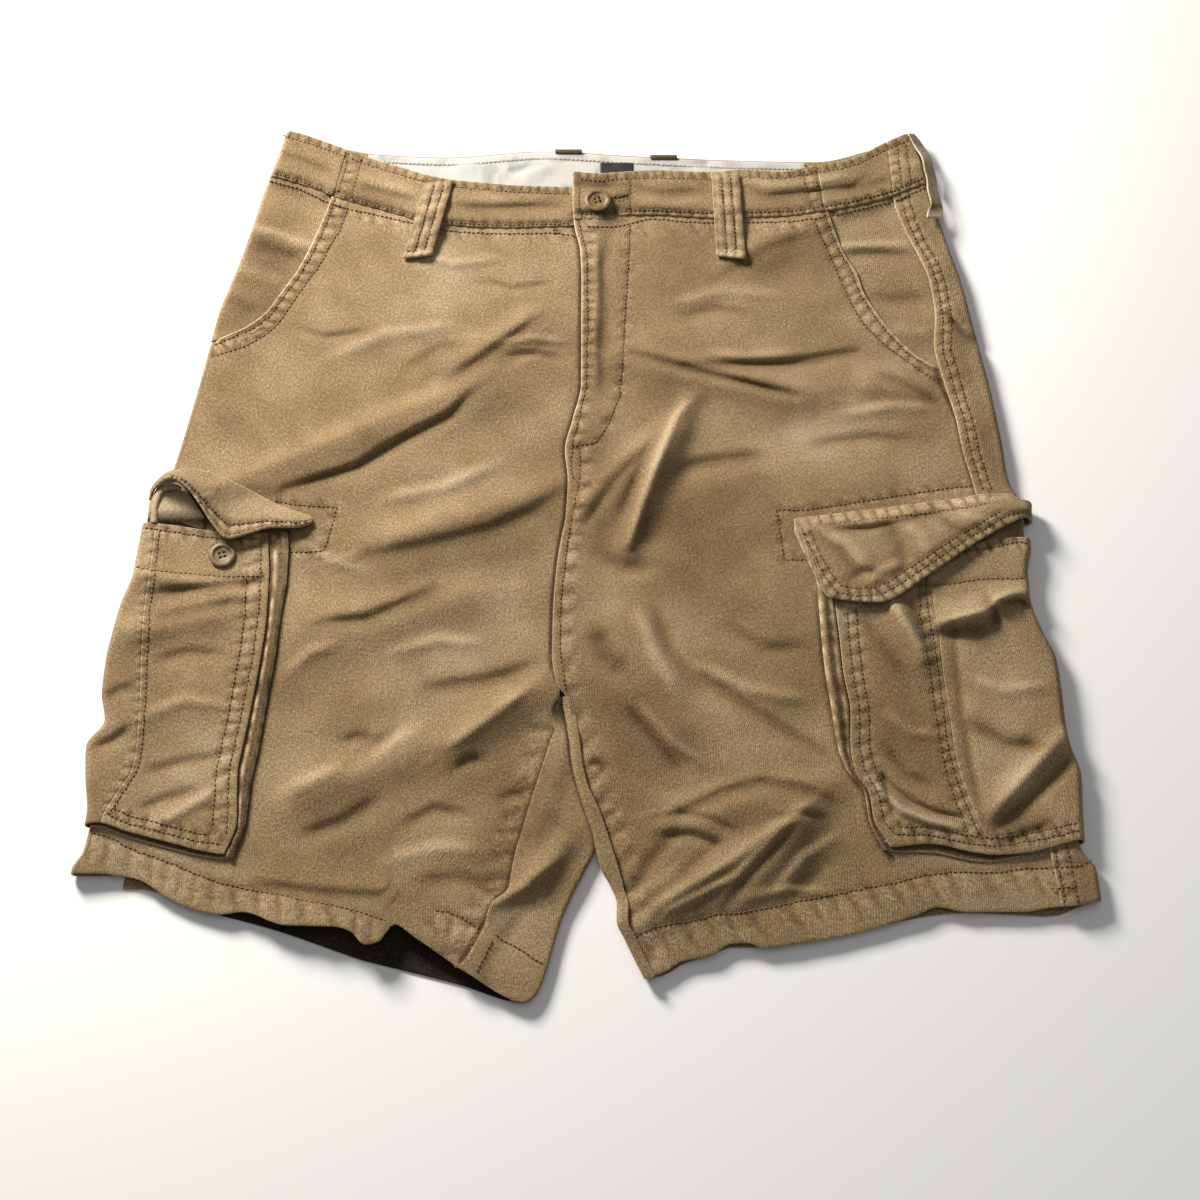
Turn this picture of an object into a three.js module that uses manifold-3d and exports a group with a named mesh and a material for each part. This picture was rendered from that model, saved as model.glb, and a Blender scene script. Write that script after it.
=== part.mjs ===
// Khaki twill cargo shorts laid front up on a flat surface.
// Millimetres, +Z up, the surface at z = 0, the waist towards +Y and the hems towards -Y.
// "right" and "left" are the wearer's sides, so the right leg lies at -X.
import * as THREE from "three";
import { mergeVertices } from "three/addons/utils/BufferGeometryUtils.js";
import Module from "manifold-3d";

const wasm = await Module();
wasm.setup();

// Driving sizes
const CLOTH = 1.2; // wall of a single twill panel, seam allowances included
const BAND = 2.0; // wall of the waistband, two layers and interlining
const LAP = 1.9; // height of one layer over the next where a seam laps
const TUCK = 5; // how far a lower layer runs on under the upper one
const SEAM = 0.4; // gap between two panels that meet edge to edge
const FOLD = 3.2; // half width of the soft fold at the side of a leg
const RETURN_STEPS = 2; // cells across a return on the underside
const RETURN_LEAST = { right: 4, left: 3 }; // least width of a return on the inside of a leg
const SIDE_WIDTH = 42; // how far in from a leg's edge its stiff fold is felt
const REST = CLOTH / 2; // middle of the layer that lies on the surface
const UNDER_FLAP = 3.4; // how far the leg's fold sits inside the pocket that wraps it
const POCKET_RISE = 3.6; // cargo pocket over the leg
const BUTTON_WAIST = 18; // 28 ligne
const BUTTON_POCKET = 17;
const LOOP_WALL = 1.4;

// The plan tables give places as they look from the point EYE, which is where the garment is seen
// from: above the hems, 23 degrees off the vertical. A point at height z slides along its own
// sight line, so folds and pockets keep the outline that they show from there.
const EYE = { x: 9.5, y: -592, z: 1270 };
const ORIGIN = { x: 0.6, y: -3.2 }; // middle of the garment's box in plan

const lerp = (a, b, t) => a + (b - a) * t;
const clamp = (t, low = 0, high = 1) => Math.min(high, Math.max(low, t));
const smooth = (t) => clamp(t) ** 2 * (3 - 2 * clamp(t));
const bell = (d, width) => Math.exp(-((d / width) ** 2));
const steps = (from, to, count) => Array.from({ length: count + 1 }, (_, i) => lerp(from, to, i / count));

function place(x, y, z) {
  const k = z / EYE.z;
  return new THREE.Vector3(lerp(x, EYE.x, k) - ORIGIN.x, lerp(y, EYE.y, k) - ORIGIN.y, z);
}
const rest = (x, y) => new THREE.Vector3(x - ORIGIN.x, y - ORIGIN.y, REST);

// A table with named columns, read at any value of its first column
function table(names, ...rows) {
  const columns = names.split(" ");
  const reader = {};
  columns.slice(1).forEach((name, c) => {
    reader[name] = (key) => {
      const last = rows.length - 1;
      const down = rows[0][0] > rows[last][0];
      let i = 1;
      while (i < last && (down ? rows[i][0] > key : rows[i][0] < key)) i++;
      const t = clamp((key - rows[i - 1][0]) / (rows[i][0] - rows[i - 1][0]));
      return lerp(rows[i - 1][c + 1], rows[i][c + 1], t);
    };
  });
  return reader;
}

// Sections across the garment, from the waist down: where each line crosses the height y
const SECTION = table(
  "y foldRight centre outseamLeft foldLeft",
  [309, -211, -9, 210, 227],
  [290, -215.5, -9, 212, 233],
  [270, -221, -9, 213, 237],
  [250, -226, -9, 214, 240],
  [230, -230.5, -7.5, 219, 245],
  [210, -235, -3.5, 227, 249.5],
  [185, -242, -2.5, 235, 256],
  [160, -249, -2.5, 237, 260],
  [136, -253, -2.5, 235, 264],
  [107, -258, -2.5, 240, 269],
  [80, -263, -8, 246, 272.5],
  [57, -267.5, -13, 249, 275],
  [35, -273, -11, 253.5, 276.5],
  [10, -286, -12, 258, 287],
  [-10, -288.5, -15.5, 260, 287.5],
  [-30, -290.5, -18, 262, 284],
  [-50, -296, -19.5, 264, 284.5],
  [-70, -300, -20, 266, 290],
  [-90, -302.5, -20, 268, 297.5],
  [-110, -303, -16.5, 270.5, 299],
  [-131, -299.5, -12.5, 273, 299.5],
  [-148, -309.5, -9.5, 275, 302],
  [-168, -308, -5.5, 277.5, 306.5],
  [-190, -305, 0, 280, 305.5],
  [-210, -307.5, 6, 283, 305],
  [-230, -311.5, 11, 286, 311],
  [-246, -311.5, 17, 288, 312],
);

// Sections across the inside of the legs, below the crotch
const INNER = table(
  "y foldRight inseamRight foldLeft inseamLeft",
  [-108, -20, -18, -16.5, -14],
  [-131, -15, -15.5, -12, -9],
  [-145, -12.5, -20.5, -9.8, -7],
  [-160, -10, -25, -8, -4],
  [-175, -7, -29.5, -4.5, 1.5],
  [-190, -3, -34, 0, 8.5],
  [-205, 2, -38, 5, 13.5],
  [-215, 4, -41, 7, 16.5],
  [-228, 0, -43.5, 10.5, 20.5],
  [-240, -5, -45.5, 17, 23.3],
  [-250, -9.5, -56, 20, 23.8],
  [-260, -14, -59, 19.8, 25.5],
  [-272, -19, -66.5, 25, 30.3],
  [-285, -24, -73.5, 31, 35.3],
  [-295, -28.5, -76, 36, 40],
  [-309, -35, -78, 40, 44],
);

// Waistband: its top edge and the seam below it, from the right fold to the left one
const WAIST_RIGHT = table(
  "x top seam",
  [-222, 311, 273],
  [-205, 307, 267.5],
  [-190, 301.5, 262],
  [-170, 293, 253.5],
  [-150, 284.5, 247],
  [-130, 277.5, 240.5],
  [-111, 271, 234.5],
  [-93, 267, 232],
  [-75, 265, 230],
  [-50, 262.5, 229.5],
  [-25, 261.5, 230.5],
  [-9, 261, 231],
);
const WAIST_LEFT = table(
  "x top seam",
  [-9, 274, 236.5],
  [8, 272.5, 236.5],
  [30, 274, 240],
  [50, 275, 240],
  [70, 274, 238.5],
  [90, 273.5, 237.5],
  [107, 275.5, 238],
  [137, 274, 239],
  [160, 279, 242.5],
  [177, 282, 245.5],
  [192, 287.5, 249],
  [208, 297, 254],
  [224, 305, 261],
  [240, 311, 268],
);
const WAIST_BACK = table(
  "x top seam",
  [-205, 298, 258],
  [-170, 292, 252],
  [-147, 287.5, 248],
  [-97, 285, 245],
  [-30, 290, 250],
  [33, 286, 246],
  [100, 282.5, 243],
  [160, 281, 244.5],
  [200, 291, 252],
  [232, 302, 262],
);

// Hems: the edge of the front layer and of the back layer that shows below it
const HEM = table(
  "x front back",
  [-313, -230, -231],
  [-296, -230, -236],
  [-282, -231.5, -240],
  [-270, -234, -240],
  [-250, -246, -244.5],
  [-235, -252.5, -250],
  [-218, -255.5, -256.5],
  [-206, -254, -259.5],
  [-180, -262, -267],
  [-150, -263, -277.5],
  [-140, -266, -281],
  [-131, -274, -284],
  [-121, -271, -286.5],
  [-115, -261.5, -288],
  [-100, -270.5, -291.5],
  [-75, -287.5, -298],
  [-34, -309.5, -309.5],
  [0, -309.5, -309.5],
  [34, -295.5, -296],
  [47, -291, -293],
  [59, -284, -286],
  [75, -281, -281],
  [88, -273.5, -276],
  [98, -273, -276],
  [107, -276, -276],
  [130, -273, -273],
  [159, -268, -268],
  [180, -262.5, -262.5],
  [200, -256, -258],
  [213, -251, -256],
  [230, -254, -255],
  [265, -254, -256.5],
  [280, -251.5, -257],
  [300, -249.5, -250.5],
  [313, -246, -246],
);

// Slanted hand pockets: the edge of the mouth at each height
const MOUTH = table(
  "y right left",
  [262, -174, 162],
  [240, -180, 167.3],
  [225, -185, 171.3],
  [208, -191, 176.5],
  [192, -198, 184.5],
  [177, -207, 188.5],
  [162, -216, 196],
  [150, -229, 203],
  [138, -249, 212],
  [128, -252, 221],
  [118, -254, 236],
);
const MOUTH_END = { right: 138, left: 118 };
const MOUTH_FACING = 9; // width of facing hidden behind the mouth

// Seams of the underside, which rests flat: straight lines
const OUTSEAM_RIGHT = table("y x", [312, -192, 0], [-240, -279, 0]);
const CENTRE_BACK = table("y x", [312, -6], [-112, -18]);
const CROTCH = -112; // the front panels part here
const CROTCH_BACK = -126; // the back panels part here

// Creases of the front: a ridge (or a trough where rise is negative) from one end to the other,
// with its width on the upper and on the lower side
const CREASES = [
  { from: [-60, 115], to: [-240, 28], rise: 4.5, upper: 10, lower: 22 },
  { from: [-18, 28], to: [-140, -14], rise: 6, upper: 14, lower: 22 },
  { from: [-28, 162], to: [-82, 124], rise: 3, upper: 10, lower: 14 },
  { from: [-60, -42], to: [-178, -68], rise: 3.5, upper: 12, lower: 18 },
  { from: [-22, -102], to: [-86, -150], rise: 4, upper: 9, lower: 16 },
  { from: [-96, -150], to: [-190, -186], rise: 3, upper: 12, lower: 16 },
  { from: [-33, -236], to: [-8, -206], rise: 3.5, upper: 8, lower: 9 },
  { from: [28, 127], to: [158, 98], rise: 4.5, upper: 8, lower: 17 },
  { from: [70, 94], to: [25, -18], rise: 4, upper: 7, lower: 8 },
  { from: [50, 72], to: [-4, 10], rise: 4.5, upper: 9, lower: 14 },
  { from: [104, 200], to: [170, 240], rise: 2.6, upper: 14, lower: 12 },
  { from: [235, 100], to: [178, 108], rise: 2.6, upper: 9, lower: 13 },
  { from: [30, -14], to: [136, -64], rise: 3.2, upper: 16, lower: 22 },
  { from: [18, -70], to: [62, -162], rise: 3, upper: 14, lower: 18 },
  { from: [58, -190], to: [168, -166], rise: 6.5, upper: 12, lower: 18 },
  { from: [28, -256], to: [134, -190], rise: 6, upper: 11, lower: 16 },
  { from: [84, -254], to: [138, -196], rise: 3, upper: 9, lower: 11 },
];
const HEM_LIFT = { x: -142, y: -278, rise: 8.5, alongX: 62, alongY: 38 };
const BELLY = 4.9; // middle of the front layer over the surface, away from creases and folds
const WAIST_BELLY = 5.2;
const SIDE_RISE = 2.6; // the stiff folds of the sides stand this much higher

function crease({ from, to, rise, upper, lower }, x, y) {
  const [dx, dy] = [to[0] - from[0], to[1] - from[1]];
  const length = Math.hypot(dx, dy);
  const s = ((x - from[0]) * dx + (y - from[1]) * dy) / length ** 2;
  const across = (dx * (y - from[1]) - dy * (x - from[0])) / length;
  const above = dx > 0 ? across : -across;
  const ends = smooth((s + 0.18) / 0.4) * smooth((1.18 - s) / 0.4);
  return rise * ends * bell(above, above > 0 ? upper : lower);
}

// 1 under a cargo pocket and 0 clear of it, so the leg is calm where a pocket lies on it
function underPocket(x, y) {
  const down = smooth((34 - y) / 20) * smooth((y + 238) / 16);
  const right = smooth((-182 - x) / 16);
  const left = smooth((x - 132) / 16);
  return down * Math.max(right, left);
}

// Middle of the front layer over the surface
function front(x, y) {
  const fromRight = x - SECTION.foldRight(y);
  const fromLeft = SECTION.foldLeft(y) - x;
  const side = 1 - smooth(Math.min(fromRight, fromLeft) / SIDE_WIDTH);
  const folds = CREASES.reduce((sum, row) => sum + crease(row, x, y), 0);
  const lift = bell(x - HEM_LIFT.x, HEM_LIFT.alongX) * bell(y - HEM_LIFT.y, HEM_LIFT.alongY);
  const calm = 1 - underPocket(x, y);
  const belly = lerp(BELLY, WAIST_BELLY, smooth((y - 200) / 40));
  return belly + SIDE_RISE * side + (folds + HEM_LIFT.rise * lift) * calm;
}

// A patch between two edges read across and two read along, as (u, v) to plan [x, y]. Each pass
// moves the place most of the way to where its row and its column cross.
const PASSES = 24;
const PASS_SHARE = 0.7;
function patch(left, right, top, bottom) {
  return (u, v) => {
    let y = lerp(top(lerp(left(0), right(0), u)), bottom(lerp(left(0), right(0), u)), v);
    let x = 0;
    for (let pass = 0; pass < PASSES; pass++) {
      x = lerp(left(y), right(y), u);
      y = lerp(y, lerp(top(x), bottom(x), v), PASS_SHARE);
    }
    return [x, y];
  };
}

const lay = (area, us, vs, height) =>
  vs.map((v) => us.map((u) => {
    const [x, y] = area(u, v);
    return place(x, y, height(x, y));
  }));

// The points of a soft fold from one layer to the other, bulging sideways
function fold(from, to, bulge, count = 4) {
  return steps(0, 1, count).slice(1, -1).map((t) => {
    const p = from.clone().lerp(to, (1 - Math.cos(Math.PI * t)) / 2);
    p.x += bulge * Math.sin(Math.PI * t);
    return p;
  });
}

const between = (from, to) => steps(0, 1, RETURN_STEPS).map((t) => from.clone().lerp(to, t));

// Closed wall of cloth from rows of middle points; a null leaves its cells out
function wall(rows, thickness) {
  const index = rows.map((row) => row.map(() => -1));
  const points = [];
  rows.forEach((row, r) => row.forEach((p, c) => {
    if (p) index[r][c] = points.push(p) - 1;
  }));
  const cells = [];
  for (let r = 0; r + 1 < rows.length; r++) {
    for (let c = 0; c + 1 < rows[r].length; c++) {
      const cell = [index[r][c], index[r + 1][c], index[r + 1][c + 1], index[r][c + 1]];
      if (cell.every((i) => i >= 0)) cells.push(cell);
    }
  }
  const normals = points.map(() => new THREE.Vector3());
  const edges = new Map();
  for (const cell of cells) {
    const across = points[cell[2]].clone().sub(points[cell[0]]);
    const normal = across.cross(points[cell[3]].clone().sub(points[cell[1]])).normalize();
    cell.forEach((i, k) => {
      normals[i].add(normal);
      const j = cell[(k + 1) % 4];
      const back = `${j} ${i}`;
      if (edges.has(back)) edges.delete(back);
      else edges.set(`${i} ${j}`, [i, j]);
    });
  }
  const used = new Set(cells.flat());
  const count = points.length;
  const positions = [];
  for (const side of [0.5, -0.5]) {
    points.forEach((p, i) => {
      const n = used.has(i) ? normals[i].normalize() : normals[i];
      positions.push(...p.clone().addScaledVector(n, side * thickness).toArray());
    });
  }
  const faces = [];
  for (const [a, b, c, d] of cells) {
    faces.push(a, b, c, a, c, d);
    faces.push(a + count, c + count, b + count, a + count, d + count, c + count);
  }
  for (const [i, j] of edges.values()) faces.push(i, i + count, j + count, i, j + count, j);
  return solid(positions, faces);
}

// Geometry of a closed body, turned so that its faces point out
function solid(positions, faces) {
  let volume = 0;
  const corner = (i) => new THREE.Vector3().fromArray(positions, i * 3);
  for (let f = 0; f < faces.length; f += 3) {
    volume += corner(faces[f]).dot(corner(faces[f + 1]).cross(corner(faces[f + 2])));
  }
  for (let f = 0; volume < 0 && f < faces.length; f += 3) {
    [faces[f], faces[f + 1]] = [faces[f + 1], faces[f]];
  }
  const geometry = new THREE.BufferGeometry();
  geometry.setAttribute("position", new THREE.Float32BufferAttribute(positions, 3));
  geometry.setIndex(faces);
  return mergeVertices(geometry, 1e-4);
}

// Materials
const material = (name, color, roughness) =>
  new THREE.MeshStandardMaterial({ name, color, roughness, metalness: 0 });
const TWILL = () => material("khaki_twill", 0xa68b63, 0.92);
const FACING = () => material("white_facing", 0xe9e7e1, 0.9);
const BUTTON = () => material("button_resin", 0x8a7245, 0.42);
const LABEL = () => material("woven_tab", 0x23262c, 0.85);

const shorts = new THREE.Group();
function add(name, geometry, finish = TWILL()) {
  geometry.computeVertexNormals();
  const mesh = new THREE.Mesh(geometry, finish);
  mesh.name = name;
  shorts.add(mesh);
}

// Edges shared by the panels
const pocketHeight = (y) => smooth((22 - y) / 14) * smooth((y + 228) / 12);
const legRight = (y) => SECTION.foldRight(y) + FOLD + UNDER_FLAP * pocketHeight(y);
const legLeft = (y) => SECTION.foldLeft(y) - FOLD - UNDER_FLAP * pocketHeight(y);
const BELOW_BAND = 4.2; // the panels stop this far below the band's edge at the side folds
const STOP = { right: -212, left: 228, over: 10 }; // and run on under the band inside these places
const underBand = (seam, inside) => seam - BELOW_BAND + (TUCK + BELOW_BAND) * smooth(inside / STOP.over);
const underBandRight = (x) => underBand(WAIST_RIGHT.seam(x), x - STOP.right);
const underBandLeft = (x) => underBand(WAIST_LEFT.seam(x), STOP.left - x);
const outseamUnder = (y) => rest(OUTSEAM_RIGHT.x(y + ORIGIN.y) - SEAM, y + ORIGIN.y);

// Right front: from under the fly, out to the hand pocket's mouth, and below it round the side
// fold to the outseam on the underside
const MOUTH_FOOT = MOUTH.right(MOUTH_END.right);
const MOUTH_DEPTH = underBandRight(MOUTH_FOOT) - MOUTH_END.right;
const RIGHT_CORNER = MOUTH_DEPTH / (underBandRight(MOUTH_FOOT) - HEM.front(MOUTH_FOOT));
const MOUTH_STEPS = 7;
const TUCK_STARTS = 30; // the right edge runs in under the left one over this much above the crotch
const UNDER_RETURN = 0.2; // the front runs on this much under the return of the back
const rightInner = (y) => {
  if (y > CROTCH) return SECTION.centre(y) + TUCK * smooth((y - CROTCH) / TUCK_STARTS);
  const beyond = INNER.foldRight(y) - FOLD - RETURN_LEAST.right - UNDER_RETURN;
  return Math.min(INNER.inseamRight(y) + TUCK, beyond);
};
const rightOuter = (y) => (y > MOUTH_END.right ? MOUTH.right(y) : legRight(y));
{
  const area = patch(rightInner, rightOuter, underBandRight, HEM.front);
  const vs = [...steps(0, RIGHT_CORNER, MOUTH_STEPS), ...steps(RIGHT_CORNER, 1, 23).slice(1)];
  const rows = lay(area, steps(0, 1, 18), vs, front);
  rows.forEach((row, r) => {
    const top = row.at(-1);
    const low = new THREE.Vector3(top.x, top.y, REST);
    const end = outseamUnder(top.y);
    const round = [...fold(top, low, -FOLD), ...between(low, end)];
    row.push(...(r < MOUTH_STEPS ? round.map(() => null) : round));
  });
  add("front_right", wall(rows, CLOTH));
}

// Left front: laps over the right one along the fly and the centre seam, and runs under the
// back panel's lap at the outseam
const FLY_LAP = { flat: 8, slope: 26, start: -150, grow: 60 };
const flyLap = (x, y) => {
  const away = smooth((x - SECTION.centre(y) - FLY_LAP.flat) / FLY_LAP.slope);
  return front(x, y) + LAP * (1 - away) * smooth((y - FLY_LAP.start) / FLY_LAP.grow);
};
const UNDER_INSEAM = { ahead: 1, back: 3, start: -152, over: 30 };
const leftInner = (y) => {
  if (y > CROTCH) return SECTION.centre(y);
  const drawnBack = UNDER_INSEAM.back * smooth((UNDER_INSEAM.start - y) / UNDER_INSEAM.over);
  return INNER.inseamLeft(y) + UNDER_INSEAM.ahead - drawnBack;
};
const OUTSEAM_TUCK = 10; // the front runs in under the outseam over this much below the mouth
const leftOuter = (y) => {
  if (y > MOUTH_END.left) return MOUTH.left(y);
  return SECTION.outseamLeft(y) + TUCK * smooth((MOUTH_END.left - y) / OUTSEAM_TUCK);
};
{
  const area = patch(leftInner, leftOuter, underBandLeft, HEM.front);
  add("front_left", wall(lay(area, steps(0, 1, 19), steps(0, 1, 31), flyLap), CLOTH));
}

// Facings behind the mouths of the hand pockets
const facingHeight = (x, y) => front(x, y) - LAP;
const FACING_END = { right: MOUTH_END.right + 2, left: MOUTH_END.left - 4 };
{
  const behind = (y) => MOUTH.right(y) + MOUTH_FACING;
  const area = patch(behind, legRight, underBandRight, () => FACING_END.right);
  const rows = lay(area, steps(0, 1, 4), steps(0, 1, 8), facingHeight);
  const [high, deep] = [rows[0].at(-1).y, rows.at(-1).at(-1).y];
  for (const row of rows) {
    const edge = row.at(-1);
    const low = new THREE.Vector3(edge.x, edge.y, REST);
    const down = (high - edge.y) / (high - deep);
    const end = outseamUnder(lerp(WAIST_BACK.seam(-205) - ORIGIN.y - SEAM, deep, down));
    row.push(...fold(edge, low, -FOLD), ...between(low, end));
  }
  add("pocket_facing_right", wall(rows, CLOTH));
}
{
  const behind = (y) => MOUTH.left(y) - MOUTH_FACING;
  const beyond = (y) => SECTION.outseamLeft(y) + TUCK;
  const area = patch(behind, beyond, underBandLeft, () => FACING_END.left);
  add("pocket_facing_left", wall(lay(area, steps(0, 1, 4), steps(0, 1, 9), facingHeight), CLOTH));
}

// Lap of a back panel over a front one: highest at the seam and level at the fold
const SIDE_LAP = { flat: 8, slope: 14, below: 8, grow: 10 };
const lapped = (seam) => (x, y) => {
  const away = smooth((Math.abs(x - seam(y)) - SIDE_LAP.flat) / SIDE_LAP.slope);
  const belowBand = smooth((WAIST_LEFT.seam(x) - SIDE_LAP.below - y) / SIDE_LAP.grow);
  return front(x, y) + LAP * (1 - away) * belowBand;
};
const BELOW_WAIST = 1.3; // the back panels stop this far below the band's edge
const underBandBack = (x) => WAIST_BACK.seam(x) - BELOW_WAIST;

// Right back: flat on the surface, and round the inside of the leg to the inseam on the front
{
  const inner = (y) => (y > CROTCH_BACK ? CENTRE_BACK.x(y) - SEAM : INNER.foldRight(y) - FOLD - 1);
  const area = patch((y) => OUTSEAM_RIGHT.x(y) + SEAM, inner, underBandBack, HEM.back);
  const vs = [...steps(0, 0.66, 6), ...steps(0.66, 1, 11).slice(1)];
  const rows = vs.map((v) => {
    const flat = steps(0, 1, 6).map((u) => rest(...area(u, v)));
    const low = flat.at(-1);
    const y = low.y + ORIGIN.y;
    const height = lapped(INNER.inseamRight);
    const edge = INNER.foldRight(y) - FOLD;
    const top = [0, 0.4, 0.75, 1].map((u) => {
      const x = lerp(edge, Math.min(INNER.inseamRight(y), edge - RETURN_LEAST.right), u);
      const seen = lerp(y, HEM.front(x), smooth((v - 0.9) / 0.1));
      return place(x, seen, height(x, seen));
    });
    const round = [...fold(low, top[0], FOLD), ...top];
    return [...flat, ...(y > CROTCH_BACK ? round.map(() => null) : round)];
  });
  add("back_right", wall(rows, CLOTH));
}

// Left back: flat on the surface, round the side fold to the outseam on the front, and round the
// inside of the leg to the inseam
const UNDER_TURN = 1.4; // the underside stops this far inside the edge above it
{
  const inner = (y) => (y > CROTCH_BACK ? CENTRE_BACK.x(y) + SEAM : INNER.foldLeft(y) + FOLD + 0.5);
  const area = patch(inner, (y) => legLeft(y) - UNDER_TURN, underBandBack, HEM.back);
  const over = patch(legLeft, SECTION.outseamLeft, underBandLeft, HEM.front);
  const rows = steps(0, 1, 34).map((v) => {
    const flat = steps(0, 1, 5).map((u) => rest(...area(u, v)));
    const [y, low] = [flat[0].y + ORIGIN.y, flat.at(-1)];
    const inseam = lapped(INNER.inseamLeft);
    const edge = INNER.foldLeft(y) + FOLD;
    const sliver = [0, 0.55, 1].map((u) => {
      const x = lerp(edge, Math.max(INNER.inseamLeft(y), edge + RETURN_LEAST.left), u);
      return place(x, y, inseam(x, y));
    });
    const inside = [...sliver.reverse(), ...fold(sliver.at(-1), flat[0], -FOLD)];
    const top = lay(over, [0, 0.35, 0.7, 1], [v], lapped(SECTION.outseamLeft))[0];
    const start = y > CROTCH_BACK ? inside.map(() => null) : inside;
    return [...start, ...flat, ...fold(low, top[0], FOLD), ...top];
  });
  add("back_left", wall(rows, CLOTH));
}

// Waistband: two front pieces that button over each other, two short side pieces and the back,
// which comes round the left side to the outseam
const BAND_SEAM_RIGHT = table("y x", [292, -168.5, 0], [256, -175.5, 0]);
const BAND_SEAM_LEFT = table("y x", [280, 161.5, 0], [242, 165.5, 0]);
const BAND_ROWS = steps(0, 1, 4);
const BAND_FOLD_STEPS = 5;
const BAND_RISE = LAP + 0.4;
const bandHeight = (x, y) => front(x, y) + BAND_RISE;
const bandLap = (x, y) => flyLap(x, y) + BAND_RISE;
const bandEnd = (sign) => (y) => SECTION.centre(y) + sign * SEAM;
const bandPatchRight = (from, to) => patch(from, to, WAIST_RIGHT.top, WAIST_RIGHT.seam);
const bandPatchLeft = (from, to) => patch(from, to, WAIST_LEFT.top, WAIST_LEFT.seam);
{
  const area = bandPatchRight(bandEnd(-1), (y) => BAND_SEAM_RIGHT.x(y) + SEAM / 2);
  add("waistband_front_right", wall(lay(area, steps(0, 1, 10), BAND_ROWS, bandHeight), BAND));
}
{
  const area = bandPatchRight((y) => BAND_SEAM_RIGHT.x(y) - SEAM / 2, (y) => SECTION.foldRight(y) + FOLD);
  const rows = lay(area, steps(0, 1, 3), BAND_ROWS, bandHeight);
  rows.forEach((row, r) => {
    const edge = row.at(-1);
    const low = new THREE.Vector3(edge.x, edge.y, BAND / 2);
    const y = lerp(WAIST_BACK.top(-205), WAIST_BACK.seam(-205), BAND_ROWS[r]);
    const end = rest(OUTSEAM_RIGHT.x(y) - SEAM, y).setZ(BAND / 2);
    row.push(...fold(edge, low, -FOLD, BAND_FOLD_STEPS), low, end);
  });
  add("waistband_side_right", wall(rows, BAND));
}
{
  const area = bandPatchLeft(bandEnd(1), (y) => BAND_SEAM_LEFT.x(y) - SEAM / 2);
  add("waistband_front_left", wall(lay(area, steps(0, 1, 10), BAND_ROWS, bandLap), BAND));
}
{
  const from = (y) => BAND_SEAM_LEFT.x(y) + SEAM / 2;
  const area = bandPatchLeft(from, (y) => SECTION.outseamLeft(y) - SEAM / 2);
  add("waistband_side_left", wall(lay(area, steps(0, 1, 3), BAND_ROWS, bandHeight), BAND));
}
{
  const edge = (y) => SECTION.foldLeft(y) - FOLD;
  const end = (y) => OUTSEAM_RIGHT.x(y) + SEAM + 1;
  const over = bandPatchLeft((y) => SECTION.outseamLeft(y) + SEAM / 2, edge);
  const under = patch((y) => edge(y) - 2, end, WAIST_BACK.top, WAIST_BACK.seam);
  const rows = BAND_ROWS.map((v) => {
    const top = lay(over, [0, 0.5, 1], [v], bandHeight)[0];
    const flat = steps(0, 1, 10).map((u) => rest(...under(u, v)).setZ(BAND / 2));
    return [...top, ...fold(top.at(-1), flat[0], FOLD, BAND_FOLD_STEPS), ...flat];
  });
  add("waistband_back", wall(rows, BAND));
}

// White facing inside the back of the waistband, with a plain woven tab on it
const FACING_WALL = 1;
const CLEAR = 0.3; // air between layers that aren't sewn together
const FACING_REST = BAND + CLEAR + FACING_WALL / 2;
const WHITE = { reach: 152, belowTop: 1.5, aboveSeam: 2 };
{
  const top = (x) => WAIST_BACK.top(x) - WHITE.belowTop;
  const bottom = (x) => WAIST_BACK.seam(x) + WHITE.aboveSeam;
  const area = patch(() => -WHITE.reach, () => WHITE.reach, top, bottom);
  const rows = steps(0, 1, 2).map((v) => steps(0, 1, 14).map((u) => rest(...area(u, v)).setZ(FACING_REST)));
  add("waistband_facing", wall(rows, FACING_WALL), FACING());
}
{
  const TAB = { x: 21, y: 273, width: 22, height: 12, wall: 1 };
  const tab = new THREE.BoxGeometry(TAB.width, TAB.height, TAB.wall);
  const high = FACING_REST + FACING_WALL / 2 + CLEAR + TAB.wall / 2;
  tab.translate(TAB.x - ORIGIN.x, TAB.y - ORIGIN.y, high);
  for (const name of ["normal", "uv"]) tab.deleteAttribute(name);
  add("label_tab", mergeVertices(tab), LABEL());
}

// Belt loops: flat strips over the waistband, their lower ends turned under
const LOOP = { width: 18.5, skew: 0.12, over: 0.5, bow: 1.2 };
const loopHeight = (x, y, t) => {
  const onBand = bandHeight(x, y) + BAND / 2 + LOOP_WALL / 2;
  return onBand + LOOP.over + LOOP.bow * Math.sin(Math.PI * t);
};
function beltLoop(name, top, bottom) {
  const skew = LOOP.skew * Math.sign(top[0]);
  const rows = steps(0, 1, 8).map((t) => {
    const middle = [lerp(top[0], bottom[0], t), lerp(top[1], bottom[1], t)];
    return [-0.5, 0, 0.5].map((side) => {
      const x = middle[0] + side * LOOP.width;
      const y = middle[1] - side * LOOP.width * skew;
      return place(x, y, loopHeight(x, y, t));
    });
  });
  add(name, wall(rows, LOOP_WALL));
}
beltLoop("belt_loop_front_right", [-102.5, 266], [-115.5, 206.5]);
beltLoop("belt_loop_front_left", [97, 272.5], [99.5, 206]);

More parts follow.
